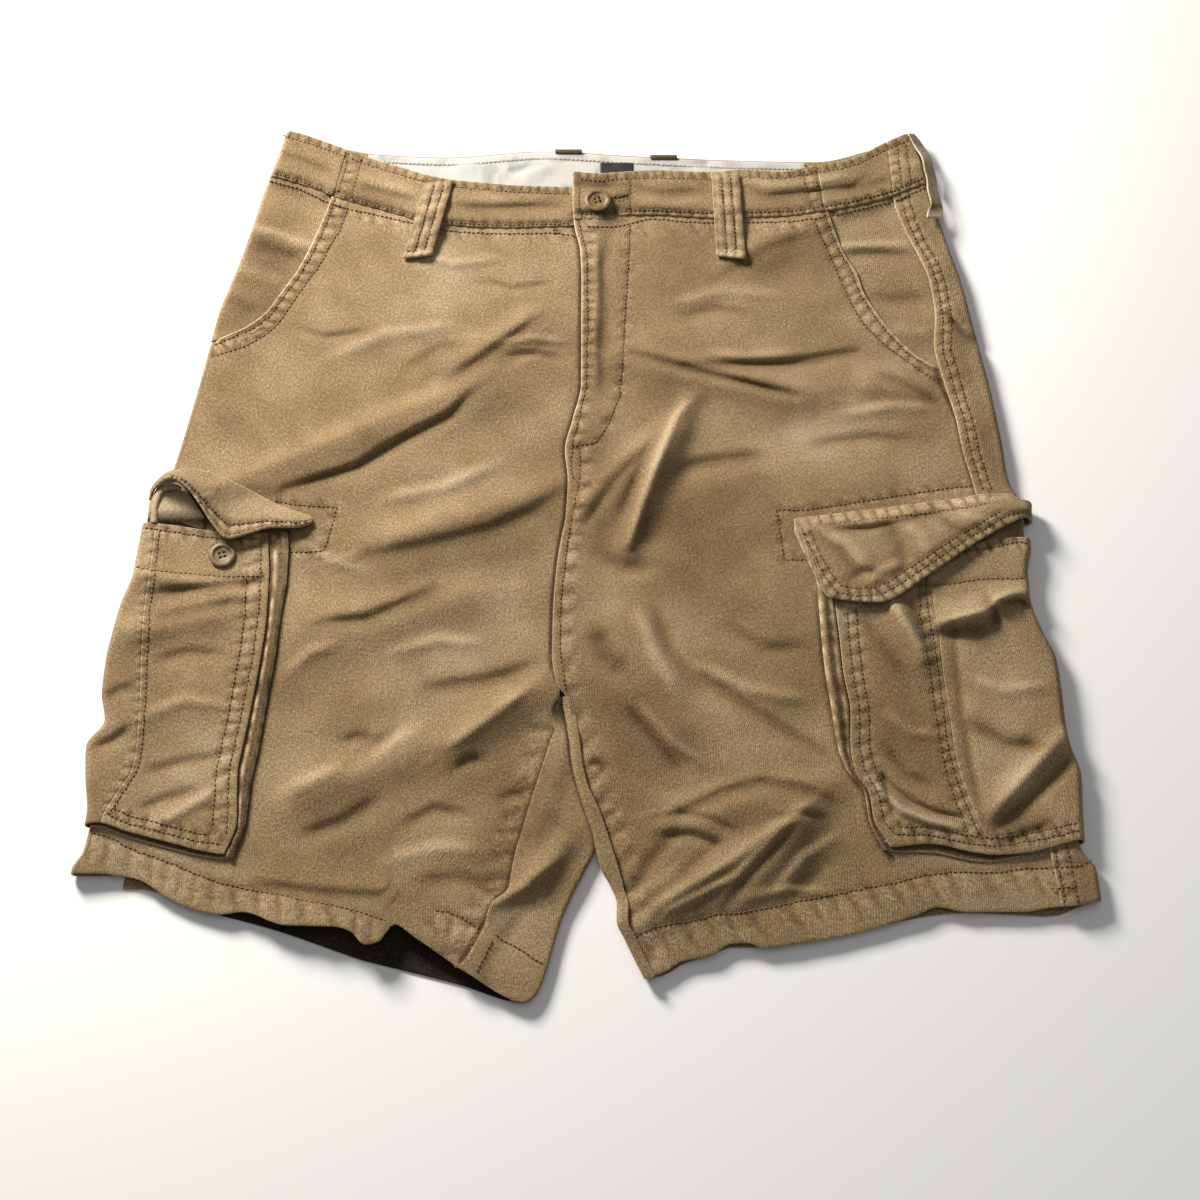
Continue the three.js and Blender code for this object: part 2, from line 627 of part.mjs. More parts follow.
// The side loop stands off the left fold; its sections run from its upper to its outer edge
{
  const STANDING = table(
    "y upperX lowerX drop",
    [305, 227.5, 230, 5],
    [297, 232, 236.5, 6],
    [282, 238, 241, 7],
    [260, 240.5, 243.5, 7],
    [246, 242.5, 245.5, 6],
    [239, 244.5, 248, 5],
  );
  const OFF = { aside: 1.6, above: 4 }; // how far it stands beside and above the fold
  const rows = steps(305, 239, 8).map((y) => [0, 0.5, 1].map((side) => {
    const x = lerp(STANDING.upperX(y), STANDING.lowerX(y), side) + OFF.aside;
    return place(x, y, front(SECTION.foldLeft(y), y) + OFF.above - side * STANDING.drop(y));
  }));
  add("belt_loop_side_left", wall(rows, LOOP_WALL));
}

// Turned top ends of the two back loops, over the edge of the back waistband
for (const [name, x] of [["belt_loop_back_right", -12.5], ["belt_loop_back_left", 54]]) {
  const TIP = { half: 9, inside: 6, wall: 1 };
  const edge = WAIST_BACK.top(x) + BAND / 2;
  const high = FACING_REST + FACING_WALL / 2 + CLEAR + TIP.wall / 2;
  const path = [[-TIP.inside, high], [0, high], [1.5, high * 0.62], [1.8, TIP.wall / 2]];
  const across = (along, z) => [-TIP.half, TIP.half].map((side) => rest(x + side, edge + along).setZ(z));
  add(name, wall(path.map(([along, z]) => across(along, z)), TIP.wall));
}

// Cargo pockets: a front panel up to the middle seam, and a rear panel that goes on round the
// side fold to the surface; a gusset joins the front edge to the leg
const CARGO_RIGHT = table(
  "y front middle flange",
  [0, -207, -279.5, -194],
  [-15, -205, -280, -192],
  [-35, -203.5, -281, -192],
  [-60, -203.5, -282, -194.5],
  [-90, -205.5, -281, -196.5],
  [-120, -209, -279.5, -200],
  [-150, -213, -279, -203],
  [-165, -215, -281, -205.5],
  [-180, -214.5, -289, -207],
  [-198, -213.5, -297, -208],
  [-218, -219.5, -299, -214],
);
const CARGO_LEFT = table(
  "y front middle flange",
  [-20, 160, 224, 148],
  [-45, 160, 222.5, 149.5],
  [-75, 162, 225, 150.5],
  [-100, 163.5, 226, 152],
  [-125, 166.8, 228, 155],
  [-150, 165.8, 230, 158],
  [-165, 168, 232, 163],
  [-180, 176, 236, 173],
  [-197, 178, 241.5, 175],
  [-212, 186, 247.5, 181],
  [-220, 188, 251, 186],
);
const CARGO_EDGES = table(
  "x top bottom",
  [-312, 6, -200],
  [-298, 6.5, -198],
  [-280, 3.5, -203.5],
  [-265, 1.5, -207.5],
  [-250, -1, -211.5],
  [-235, -3, -215.5],
  [-219, -3.5, -218],
  [-203, -3, -218],
  [158, -26, -213],
  [187, -22, -213.5],
  [210, -18, -211.5],
  [238, -14, -217],
  [250, -11.5, -218.5],
  [270, -7, -217],
  [292, -6.5, -211.5],
  [308, -7, -207],
);
// Folds of the left pocket, which is pulled towards its button
const CARGO_CREASES = [
  { from: [226, -66], to: [278, -46], rise: 4.5, upper: 7, lower: 8 },
  { from: [198, -52], to: [216, -100], rise: 3, upper: 9, lower: 9 },
  { from: [236, -122], to: [280, -145], rise: 2.4, upper: 9, lower: 12 },
  { from: [300, -140], to: [246, -196], rise: 3, upper: 8, lower: 9 },
  { from: [-296, -30], to: [-214, -46], rise: 2.2, upper: 7, lower: 9 },
  { from: [-300, -74], to: [-226, -56], rise: 2.4, upper: 9, lower: 12 },
];
const cargo = (x, y) =>
  front(x, y) + POCKET_RISE + CARGO_CREASES.reduce((sum, row) => sum + crease(row, x, y), 0);
const GUSSET = { high: 3.4, pleat: 0.9, hidden: 0.5, below: 2 };
const POCKET_TURN = { bulge: FOLD + 0.4, foot: 1.2, end: 3, lift: 0.4 };

function cargoPocket(side, shape, sideFold, sign) {
  const outline = (y) => sideFold(y) - sign * FOLD;
  const { top, bottom } = CARGO_EDGES;
  const area = patch(shape.front, (y) => shape.middle(y) - sign * SEAM / 2, top, bottom);
  add(`cargo_pocket_front_${side}`, wall(lay(area, steps(0, 1, 6), steps(0, 1, 15), cargo), CLOTH));
  const rear = patch((y) => shape.middle(y) + sign * SEAM / 2, outline, top, bottom);
  const rows = lay(rear, steps(0, 1, sign > 0 ? 4 : 2), steps(0, 1, 15), cargo);
  for (const row of rows) {
    const edge = row.at(-1);
    const low = new THREE.Vector3(edge.x + sign * POCKET_TURN.foot, edge.y, REST);
    const round = fold(edge, low, sign * POCKET_TURN.bulge, 5);
    const end = new THREE.Vector3(edge.x + sign * POCKET_TURN.end, edge.y, REST + POCKET_TURN.lift);
    row.push(...round.slice(0, 3), end);
  }
  add(`cargo_pocket_rear_${side}`, wall(rows, CLOTH));
  const start = (y) => shape.front(y) - sign * GUSSET.hidden;
  const strip = patch(start, shape.flange, top, (x) => bottom(x) - GUSSET.below);
  const gusset = (x, y) => {
    const t = clamp((x - shape.flange(y)) / (shape.front(y) - shape.flange(y)));
    return front(x, y) + lerp(LAP, GUSSET.high, t) + GUSSET.pleat * Math.sin(2 * Math.PI * t);
  };
  add(`cargo_gusset_${side}`, wall(lay(strip, [0.12, 0.4, 0.7, 1], steps(0, 1, 14), gusset), CLOTH));
}
cargoPocket("right", CARGO_RIGHT, SECTION.foldRight, -1);
cargoPocket("left", CARGO_LEFT, SECTION.foldLeft, 1);

// Left flap: sewn down along its upper edge, folded over the pocket, and round the side fold at
// its outer end
const FLAP_SEWN = 1.6; // a flap's sewn edge over the leg
const FLAP_LEFT = table(
  "x top bottom lift",
  [136, 6.5, -1, 0],
  [146, 7.5, -27, 0.4],
  [157, 9, -48, 0.8],
  [187, 13, -51, 1.6],
  [220, 17.5, -32, 1.6],
  [245, 21, -14, 1.2],
  [262, 24, -3, 0.8],
  [275, 24, 4.5, 0.4],
  [284, 20, 9, 0],
);
{
  const over = POCKET_RISE + 3.6;
  const OUTSEAM = { start: 236, over: 12 }; // where the flap climbs onto the outseam's lap
  const SWELL = { rise: 1.5, width: 0.3, start: 140, over: 20 };
  const height = (x, y) => {
    const [sewn, free] = [FLAP_LEFT.top(x), FLAP_LEFT.bottom(x)];
    const down = clamp((sewn - y) / Math.max(1, sewn - free));
    const overSeam = LAP * smooth((x - OUTSEAM.start) / OUTSEAM.over);
    const stand = lerp(FLAP_SEWN + overSeam, over, smooth((sewn - y) / 7));
    const swell = SWELL.rise * bell(down - 0.5, SWELL.width) * smooth((x - SWELL.start) / SWELL.over);
    return front(x, y) + stand + FLAP_LEFT.lift(x) * down + swell;
  };
  const area = patch(() => 136.5, () => 284, FLAP_LEFT.top, FLAP_LEFT.bottom);
  const rows = lay(area, steps(0, 1, 13), [0, 0.12, 0.25, 0.5, 0.75, 1], height);
  for (const row of rows) {
    const edge = row.at(-1);
    const low = new THREE.Vector3(edge.x + 2.4, edge.y - 1, 3.2);
    row.push(...fold(edge, low, 5.4, 5).slice(0, 4));
  }
  add("cargo_flap_left", wall(rows, CLOTH));
}

// Right flap: pushed up into an arch over the side fold. Its sections run from the sewn edge to
// the free edge, and stand that far over the leg
const FLAP_RIGHT = table(
  "section sewnX sewnY sewnStand freeX freeY freeStand",
  [0, -179, 8.5, 1.7, -177.5, 4.5, 2.2],
  [1, -190, 12, 1.7, -188, 1.5, 5.5],
  [2, -203, 17.5, 1.8, -203, 1.5, 8],
  [3, -216, 25, 2.6, -217, -2.5, 9.5],
  [4, -229, 32, 5, -231, -6.5, 10],
  [5, -242, 38, 8, -241, 3, 12],
  [6, -254, 41.5, 10.5, -250, 16.5, 15],
  [7, -264, 42.5, 11.5, -261, 31, 17],
  [8, -272, 41, 10.5, -271, 37, 16],
  [9, -278.5, 36, 7, -278.5, 33, 11],
  [10, -283, 29, 2.5, -283.5, 24, 5],
  [11, -284.5, 22, -1, -284.8, 11, 1],
);
{
  const rows = steps(0, 11, 11).map((k) => steps(0, 1, 4).map((t) => {
    const x = lerp(FLAP_RIGHT.sewnX(k), FLAP_RIGHT.freeX(k), t);
    const y = lerp(FLAP_RIGHT.sewnY(k), FLAP_RIGHT.freeY(k), t);
    const stand = lerp(FLAP_RIGHT.sewnStand(k), FLAP_RIGHT.freeStand(k), t);
    return place(x, y, front(x, y) + stand + 0.9 * Math.sin(Math.PI * t));
  }));
  add("cargo_flap_right", wall(rows, CLOTH));
}

// Four-hole buttons: a turned rim round a sunk middle
function button(name, diameter, x, y, z) {
  const profile = [[0, 0], [0.62, 0], [1, 1.1], [1, 1.9], [0.9, 2.7], [0.76, 2.7], [0.6, 1.9], [0, 1.9]];
  const outline = profile.map(([share, high]) => new THREE.Vector2(share * diameter / 2, high));
  const body = toManifold(new THREE.LatheGeometry(outline, 24).rotateX(Math.PI / 2));
  const off = 0.085 * diameter;
  const radius = off / 1.8;
  const holes = [[1, 1], [1, -1], [-1, 1], [-1, -1]].map(([sx, sy]) => {
    const hole = new THREE.CylinderGeometry(radius, radius, 6, 8).rotateX(Math.PI / 2);
    return toManifold(hole.translate(sx * off, sy * off, 1));
  });
  const cut = holes.reduce((left, hole) => left.subtract(hole), body);
  const geometry = fromManifold(cut);
  const at = place(x, y, z);
  geometry.translate(at.x, at.y, at.z);
  add(name, geometry, BUTTON());
}
function toManifold(source) {
  for (const name of ["normal", "uv"]) source.deleteAttribute(name);
  const merged = mergeVertices(source, 1e-4);
  return new wasm.Manifold(new wasm.Mesh({
    numProp: 3,
    vertProperties: new Float32Array(merged.attributes.position.array),
    triVerts: new Uint32Array(merged.index.array),
  }));
}
function fromManifold(body) {
  const mesh = body.getMesh();
  const geometry = new THREE.BufferGeometry();
  geometry.setAttribute("position", new THREE.BufferAttribute(mesh.vertProperties, 3));
  geometry.setIndex(new THREE.BufferAttribute(mesh.triVerts, 1));
  return geometry;
}
const SEAT = 0.5; // a button's back over the cloth that it is sewn to
button("button_waist", BUTTON_WAIST, 8, 251, bandLap(8, 251) + BAND / 2 + SEAT);
button("button_pocket_right", BUTTON_POCKET, -234, -19, cargo(-234, -19) + CLOTH / 2 + SEAT);

export default shorts;
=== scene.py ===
"""Khaki twill cargo shorts laid front up on a pale table, worn soft and creased.

Plan tables are in millimetres, as a cutter writes them, and MM turns them into metres. "Right" and
"left" are the wearer's sides, so the right leg lies at -X; the waist is towards +Y.
"""
import math
from collections import namedtuple
from types import SimpleNamespace

import bpy
import numpy as np
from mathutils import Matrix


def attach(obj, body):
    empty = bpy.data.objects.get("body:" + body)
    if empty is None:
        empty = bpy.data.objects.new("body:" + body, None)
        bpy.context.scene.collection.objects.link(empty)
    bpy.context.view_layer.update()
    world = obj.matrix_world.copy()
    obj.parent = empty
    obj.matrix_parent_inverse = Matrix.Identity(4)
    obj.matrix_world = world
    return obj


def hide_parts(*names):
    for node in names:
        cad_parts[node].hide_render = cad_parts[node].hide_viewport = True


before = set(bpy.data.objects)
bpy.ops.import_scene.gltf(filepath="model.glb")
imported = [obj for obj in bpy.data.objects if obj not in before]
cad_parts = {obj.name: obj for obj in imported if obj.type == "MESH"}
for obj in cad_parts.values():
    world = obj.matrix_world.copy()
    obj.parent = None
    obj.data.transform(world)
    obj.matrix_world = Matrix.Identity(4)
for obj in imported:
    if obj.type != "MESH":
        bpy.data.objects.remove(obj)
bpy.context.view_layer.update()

# Camera, light and table
# The shorts lie on a plain pale surface and are seen from above the hems, 23.1 degrees off the
# vertical. Daylight comes from a wide window beyond the waistband, a little from the left.
MM = 0.001
EYE = (8.9, -588.8, 1270.0)
TILT = math.radians(23.1)
LENS = 64.8  # on a 36 mm wide picture


def linear(code):
    """Linear colour of an sRGB hex code."""
    parts = [int(code[i:i + 2], 16) / 255 for i in (1, 3, 5)]
    return tuple(p / 12.92 if p <= 0.04045 else ((p + 0.055) / 1.055) ** 2.4 for p in parts) + (1.0,)


def add_node(tree, kind, inputs=None, **settings):
    """A node with its settings, and its inputs filled with values or links."""
    node = tree.nodes.new(kind)
    for name, value in settings.items():
        setattr(node, name, value)
    for name, value in (inputs or {}).items():
        if isinstance(value, bpy.types.NodeSocket):
            tree.links.new(value, node.inputs[name])
        else:
            node.inputs[name].default_value = value
    return node


def new_material(name):
    """An empty material, its node tree and its output node."""
    material = bpy.data.materials.new(name)
    material.use_nodes = True
    material.node_tree.nodes.clear()
    output = add_node(material.node_tree, "ShaderNodeOutputMaterial")
    return material, material.node_tree, output


def area_light(name, place, aim, size, power, colour):
    """A soft square lamp at a place, turned to face its aim."""
    lamp = bpy.data.lights.new(name, "AREA")
    lamp.size = size
    lamp.energy = power
    lamp.color = linear(colour)[:3]
    holder = bpy.data.objects.new(name, lamp)
    bpy.context.scene.collection.objects.link(holder)
    away = np.array(place) - np.array(aim)
    holder.location = place
    holder.rotation_euler = (math.atan2(math.hypot(*away[:2]), away[2]), 0, math.atan2(away[0], -away[1]))
    return holder


view = bpy.data.objects.new("camera", bpy.data.cameras.new("camera"))
view.data.lens = LENS
view.data.sensor_width = 36
view.data.clip_end = 20
view.location = [value * MM for value in EYE]
view.rotation_euler = (TILT, 0, 0)
bpy.context.scene.collection.objects.link(view)
bpy.context.scene.camera = view

area_light("window", (-0.80, 0.95, 0.68), (-0.05, 0.05, 0), 0.4, 47, "#FFFCF5")
area_light("ceiling", (0.3, 0.2, 2.4), (0, 0, 0), 2.0, 7, "#F6F8FF")

world = bpy.data.worlds.new("room")
world.use_nodes = True
world.node_tree.nodes["Background"].inputs["Color"].default_value = linear("#F6F6F6")
world.node_tree.nodes["Background"].inputs["Strength"].default_value = 0.2
bpy.context.scene.world = world
bpy.context.scene.view_settings.view_transform = "Standard"

bpy.ops.object.select_all(action="DESELECT")
bpy.ops.mesh.primitive_plane_add(size=8, location=(0, 0, -0.0003))
bpy.ops.object.transform_apply(location=True)
table_top = bpy.context.object
table_top.name = "table_top"
painted_board, tree, output = new_material("painted_board")
paint = add_node(tree, "ShaderNodeBsdfPrincipled", {"Base Color": linear("#F2F1EF"), "Roughness": 0.75})
tree.links.new(paint.outputs["BSDF"], output.inputs["Surface"])
table_top.data.materials.append(painted_board)

# Right front panel
# One cut of heavy cotton twill from the fly to the hand pocket's mouth, and below the pocket round
# the side fold to the outseam underneath. It is felled along its edges and hemmed 28 mm deep.
CLOTH = 1.2  # wall of one twill panel
FOLDED = 2.4  # wall where an edge is turned under and stitched
LAP = 1.9  # height of one layer over the next where a seam laps
TUCK = 5.0  # how far a lower layer runs on under the upper one
SEAM = 0.4  # how far each piece's edge stays off the line of its seam
FOLD = 3.2  # half width of the soft fold at the side of a leg
REST = CLOTH / 2  # middle of a layer that lies on the table
POCKET_TUCK = 3.4  # how far the leg's side fold is drawn in under a cargo pocket
ORIGIN = (0.6, -3.2)  # middle of the garment's box in the plan tables


def lerp(a, b, t):
    """A mix that is a where t is 0 and b where it is 1."""
    return a + (b - a) * t


def smooth(t):
    """A soft step, from 0 where t is 0 to 1 where it is 1."""
    t = np.clip(t, 0, 1)
    return t * t * (3 - 2 * t)


def bell(off, width):
    """A round hump of height 1, down to about a third at its width."""
    return np.exp(-(off / width) ** 2)


def place(x, y, z):
    """Plan places seen from EYE, as points z above the table."""
    x, y, z = np.broadcast_arrays(np.asarray(x, float), y, z)
    k = z / EYE[2]
    return np.stack([lerp(x - ORIGIN[0], EYE[0], k), lerp(y - ORIGIN[1], EYE[1], k), z], -1)


def rest(x, y, z=REST):
    """Points of a layer that lies straight on the table."""
    x, y, z = np.broadcast_arrays(np.asarray(x, float), y, z)
    return np.stack([x - ORIGIN[0], y - ORIGIN[1], z], -1)


def table(names, *rows):
    """Readers for the named columns: smooth curves through the rows that never swing past them."""
    rows = np.array(sorted(rows), float)
    keys = rows[:, 0]
    gaps = np.diff(keys)

    def column(values):
        rates = np.diff(values) / gaps
        slopes = np.concatenate([rates[:1], np.zeros(len(rates) - 1), rates[-1:]])
        for i in range(1, len(rates)):
            if rates[i - 1] * rates[i] > 0:
                slopes[i] = 2 / (1 / rates[i - 1] + 1 / rates[i])

        def read(key):
            key = np.clip(key, keys[0], keys[-1])
            i = np.clip(np.searchsorted(keys, key) - 1, 0, len(gaps) - 1)
            t = (key - keys[i]) / gaps[i]
            start = values[i] * (1 + 2 * t) + slopes[i] * gaps[i] * t
            end = values[i + 1] * (3 - 2 * t) - slopes[i + 1] * gaps[i] * (1 - t)
            return start * (1 - t) ** 2 + end * t ** 2
        return read
    return SimpleNamespace(**{name: column(rows[:, i]) for i, name in enumerate(names.split()[1:], 1)})


# Sections across the garment, from the waist down
SECTION = table(
    "y fold_right centre outseam_left fold_left",
    (309, -211, -9, 210, 227), (290, -215.5, -9, 212, 233), (270, -221, -9, 213, 237),
    (250, -226, -9, 214, 240), (230, -230.5, -7.5, 219, 245), (210, -235, -3.5, 227, 249.5),
    (185, -242, -2.5, 235, 256), (160, -249, -2.5, 237, 260), (136, -253, -2.5, 235, 264),
    (107, -258, -2.5, 240, 269), (80, -263, -8, 246, 272.5), (57, -267.5, -13, 249, 275),
    (35, -273, -11, 253.5, 276.5), (10, -286, -12, 258, 287), (-10, -288.5, -15.5, 260, 287.5),
    (-30, -290.5, -18, 262, 284), (-50, -296, -19.5, 264, 284.5), (-70, -300, -20, 266, 290),
    (-90, -302.5, -20, 268, 297.5), (-110, -303, -16.5, 270.5, 299), (-131, -299.5, -12.5, 273, 299.5),
    (-148, -309.5, -9.5, 275, 302), (-168, -308, -5.5, 277.5, 306.5), (-190, -305, 0, 280, 305.5),
    (-210, -307.5, 6, 283, 305), (-230, -311.5, 11, 286, 311), (-246, -311.5, 17, 288, 312),
)
# Sections across the inside of the legs, below the crotch
INNER = table(
    "y fold_right inseam_right fold_left inseam_left",
    (-108, -17, -18, -16.5, -14), (-131, -12.4, -15.5, -12, -9), (-145, -10.2, -20.5, -9.8, -7),
    (-160, -8.4, -25, -8, -4), (-175, -4.9, -29.5, -4.5, 1.5), (-190, -0.4, -34, 0, 8.5),
    (-205, 4.6, -38, 5, 13.5), (-215, 6.4, -41, 7, 16.5), (-228, 1, -43.5, 10.5, 20.5),
    (-240, -5, -45.5, 17, 23.3), (-250, -9.5, -56, 20, 23.8), (-260, -14, -59, 19.8, 25.5),
    (-272, -19, -66.5, 25, 30.3), (-285, -24, -73.5, 31, 35.3), (-295, -28.5, -76, 36, 40),
    (-309, -35, -78, 40, 44),
)
# Waistband: its top edge and the seam below it
WAIST_RIGHT = table(
    "x top seam",
    (-222, 311, 273), (-205, 307, 267.5), (-190, 301.5, 262), (-170, 293, 253.5), (-150, 284.5, 247),
    (-130, 277.5, 240.5), (-111, 271, 234.5), (-93, 267, 232), (-75, 265, 230), (-50, 262.5, 229.5),
    (-25, 261.5, 230.5), (-9, 261, 231),
)
WAIST_LEFT = table(
    "x top seam",
    (-9, 274, 236.5), (8, 272.5, 236.5), (30, 274, 240), (50, 275, 240), (70, 274, 238.5),
    (90, 273.5, 237.5), (107, 275.5, 238), (137, 274, 239), (160, 279, 242.5), (177, 282, 245.5),
    (192, 287.5, 249), (208, 297, 254), (224, 305, 261), (240, 311, 268),
)
WAIST_BACK = table(
    "x top seam",
    (-205, 298, 258), (-170, 292, 252), (-147, 287.5, 248), (-97, 285, 245), (-30, 290, 250),
    (33, 286, 246), (100, 282.5, 243), (160, 281, 244.5), (200, 291, 252), (232, 302, 262),
)
# Hems: the edge of the front layer, and of the back layer that shows below it
HEM = table(
    "x front back",
    (-313, -230, -231), (-296, -230, -236), (-282, -231.5, -240), (-270, -234, -240),
    (-250, -246, -244.5), (-235, -252.5, -250), (-218, -255.5, -256.5), (-206, -254, -259.5),
    (-180, -262, -267), (-150, -263, -277.5), (-140, -266, -281), (-131, -274, -284),
    (-121, -271, -286.5), (-115, -261.5, -288), (-100, -270.5, -291.5), (-75, -287.5, -298),
    (-34, -309.5, -309.5), (0, -309.5, -309.5), (34, -295.5, -296), (47, -291, -293),
    (59, -284, -286), (75, -281, -281), (88, -273.5, -276), (98, -273, -276), (107, -276, -276),
    (130, -273, -273), (159, -268, -268), (180, -262.5, -262.5), (200, -256, -258),
    (213, -251, -256), (230, -254, -255), (265, -254, -256.5), (280, -251.5, -257),
    (300, -249.5, -250.5), (313, -246, -246),
)
# Slanted hand pockets: the edge of the mouth at each height
MOUTH = table(
    "y right left",
    (262, -174, 162), (240, -180, 167.3), (225, -185, 171.3), (208, -191, 176.5), (192, -198, 184.5),
    (177, -207, 188.5), (162, -216, 196), (150, -229, 203), (138, -249, 212), (128, -252, 221),
    (118, -254, 236),
)
MOUTH_END_RIGHT = 138  # height at which the mouth meets the side
MOUTH_END_LEFT = 118
MOUTH_FACING = 9  # how far a facing runs in behind the mouth
OUTSEAM_RIGHT = table("y x", (312, -192), (-240, -279))
CENTRE_BACK = table("y x", (312, -6), (-112, -18))
CROTCH = -112  # height at which the front's legs part
CROTCH_BACK = -115  # and the back's

# Creases: a ridge (or a trough where rise is negative) along a line from its -X to its +X end,
# with its width on the upper and on the lower side. The first rows are the large folds.
Crease = namedtuple("Crease", "rise upper lower line")
LARGE_FOLDS = [
    Crease(3.8, 8, 22, [(-240, 28), (-60, 115)]),
    Crease(4.6, 12, 24, [(-140, -14), (-18, 28)]),
    Crease(3, 10, 14, [(-82, 124), (-28, 162)]),
    Crease(3.5, 12, 18, [(-178, -68), (-60, -42)]),
    Crease(4, 9, 16, [(-86, -150), (-22, -102)]),
    Crease(3, 12, 16, [(-190, -186), (-96, -150)]),
    Crease(3.5, 8, 9, [(-33, -236), (-8, -206)]),
    Crease(4.5, 8, 17, [(28, 127), (158, 98)]),
    Crease(4, 7, 8, [(25, -18), (70, 94)]),
    Crease(3.2, 9, 16, [(-4, 10), (50, 72)]),
    Crease(2.6, 14, 12, [(104, 200), (170, 240)]),
    Crease(2.6, 13, 9, [(178, 108), (235, 100)]),
    Crease(3.2, 16, 22, [(30, -14), (136, -64)]),
    Crease(3, 14, 18, [(18, -70), (62, -162)]),
    Crease(5.2, 10, 20, [(58, -190), (178, -170)]),
    Crease(3.8, 9, 18, [(28, -256), (150, -186)]),
    Crease(2, 9, 11, [(84, -254), (138, -196)]),
]
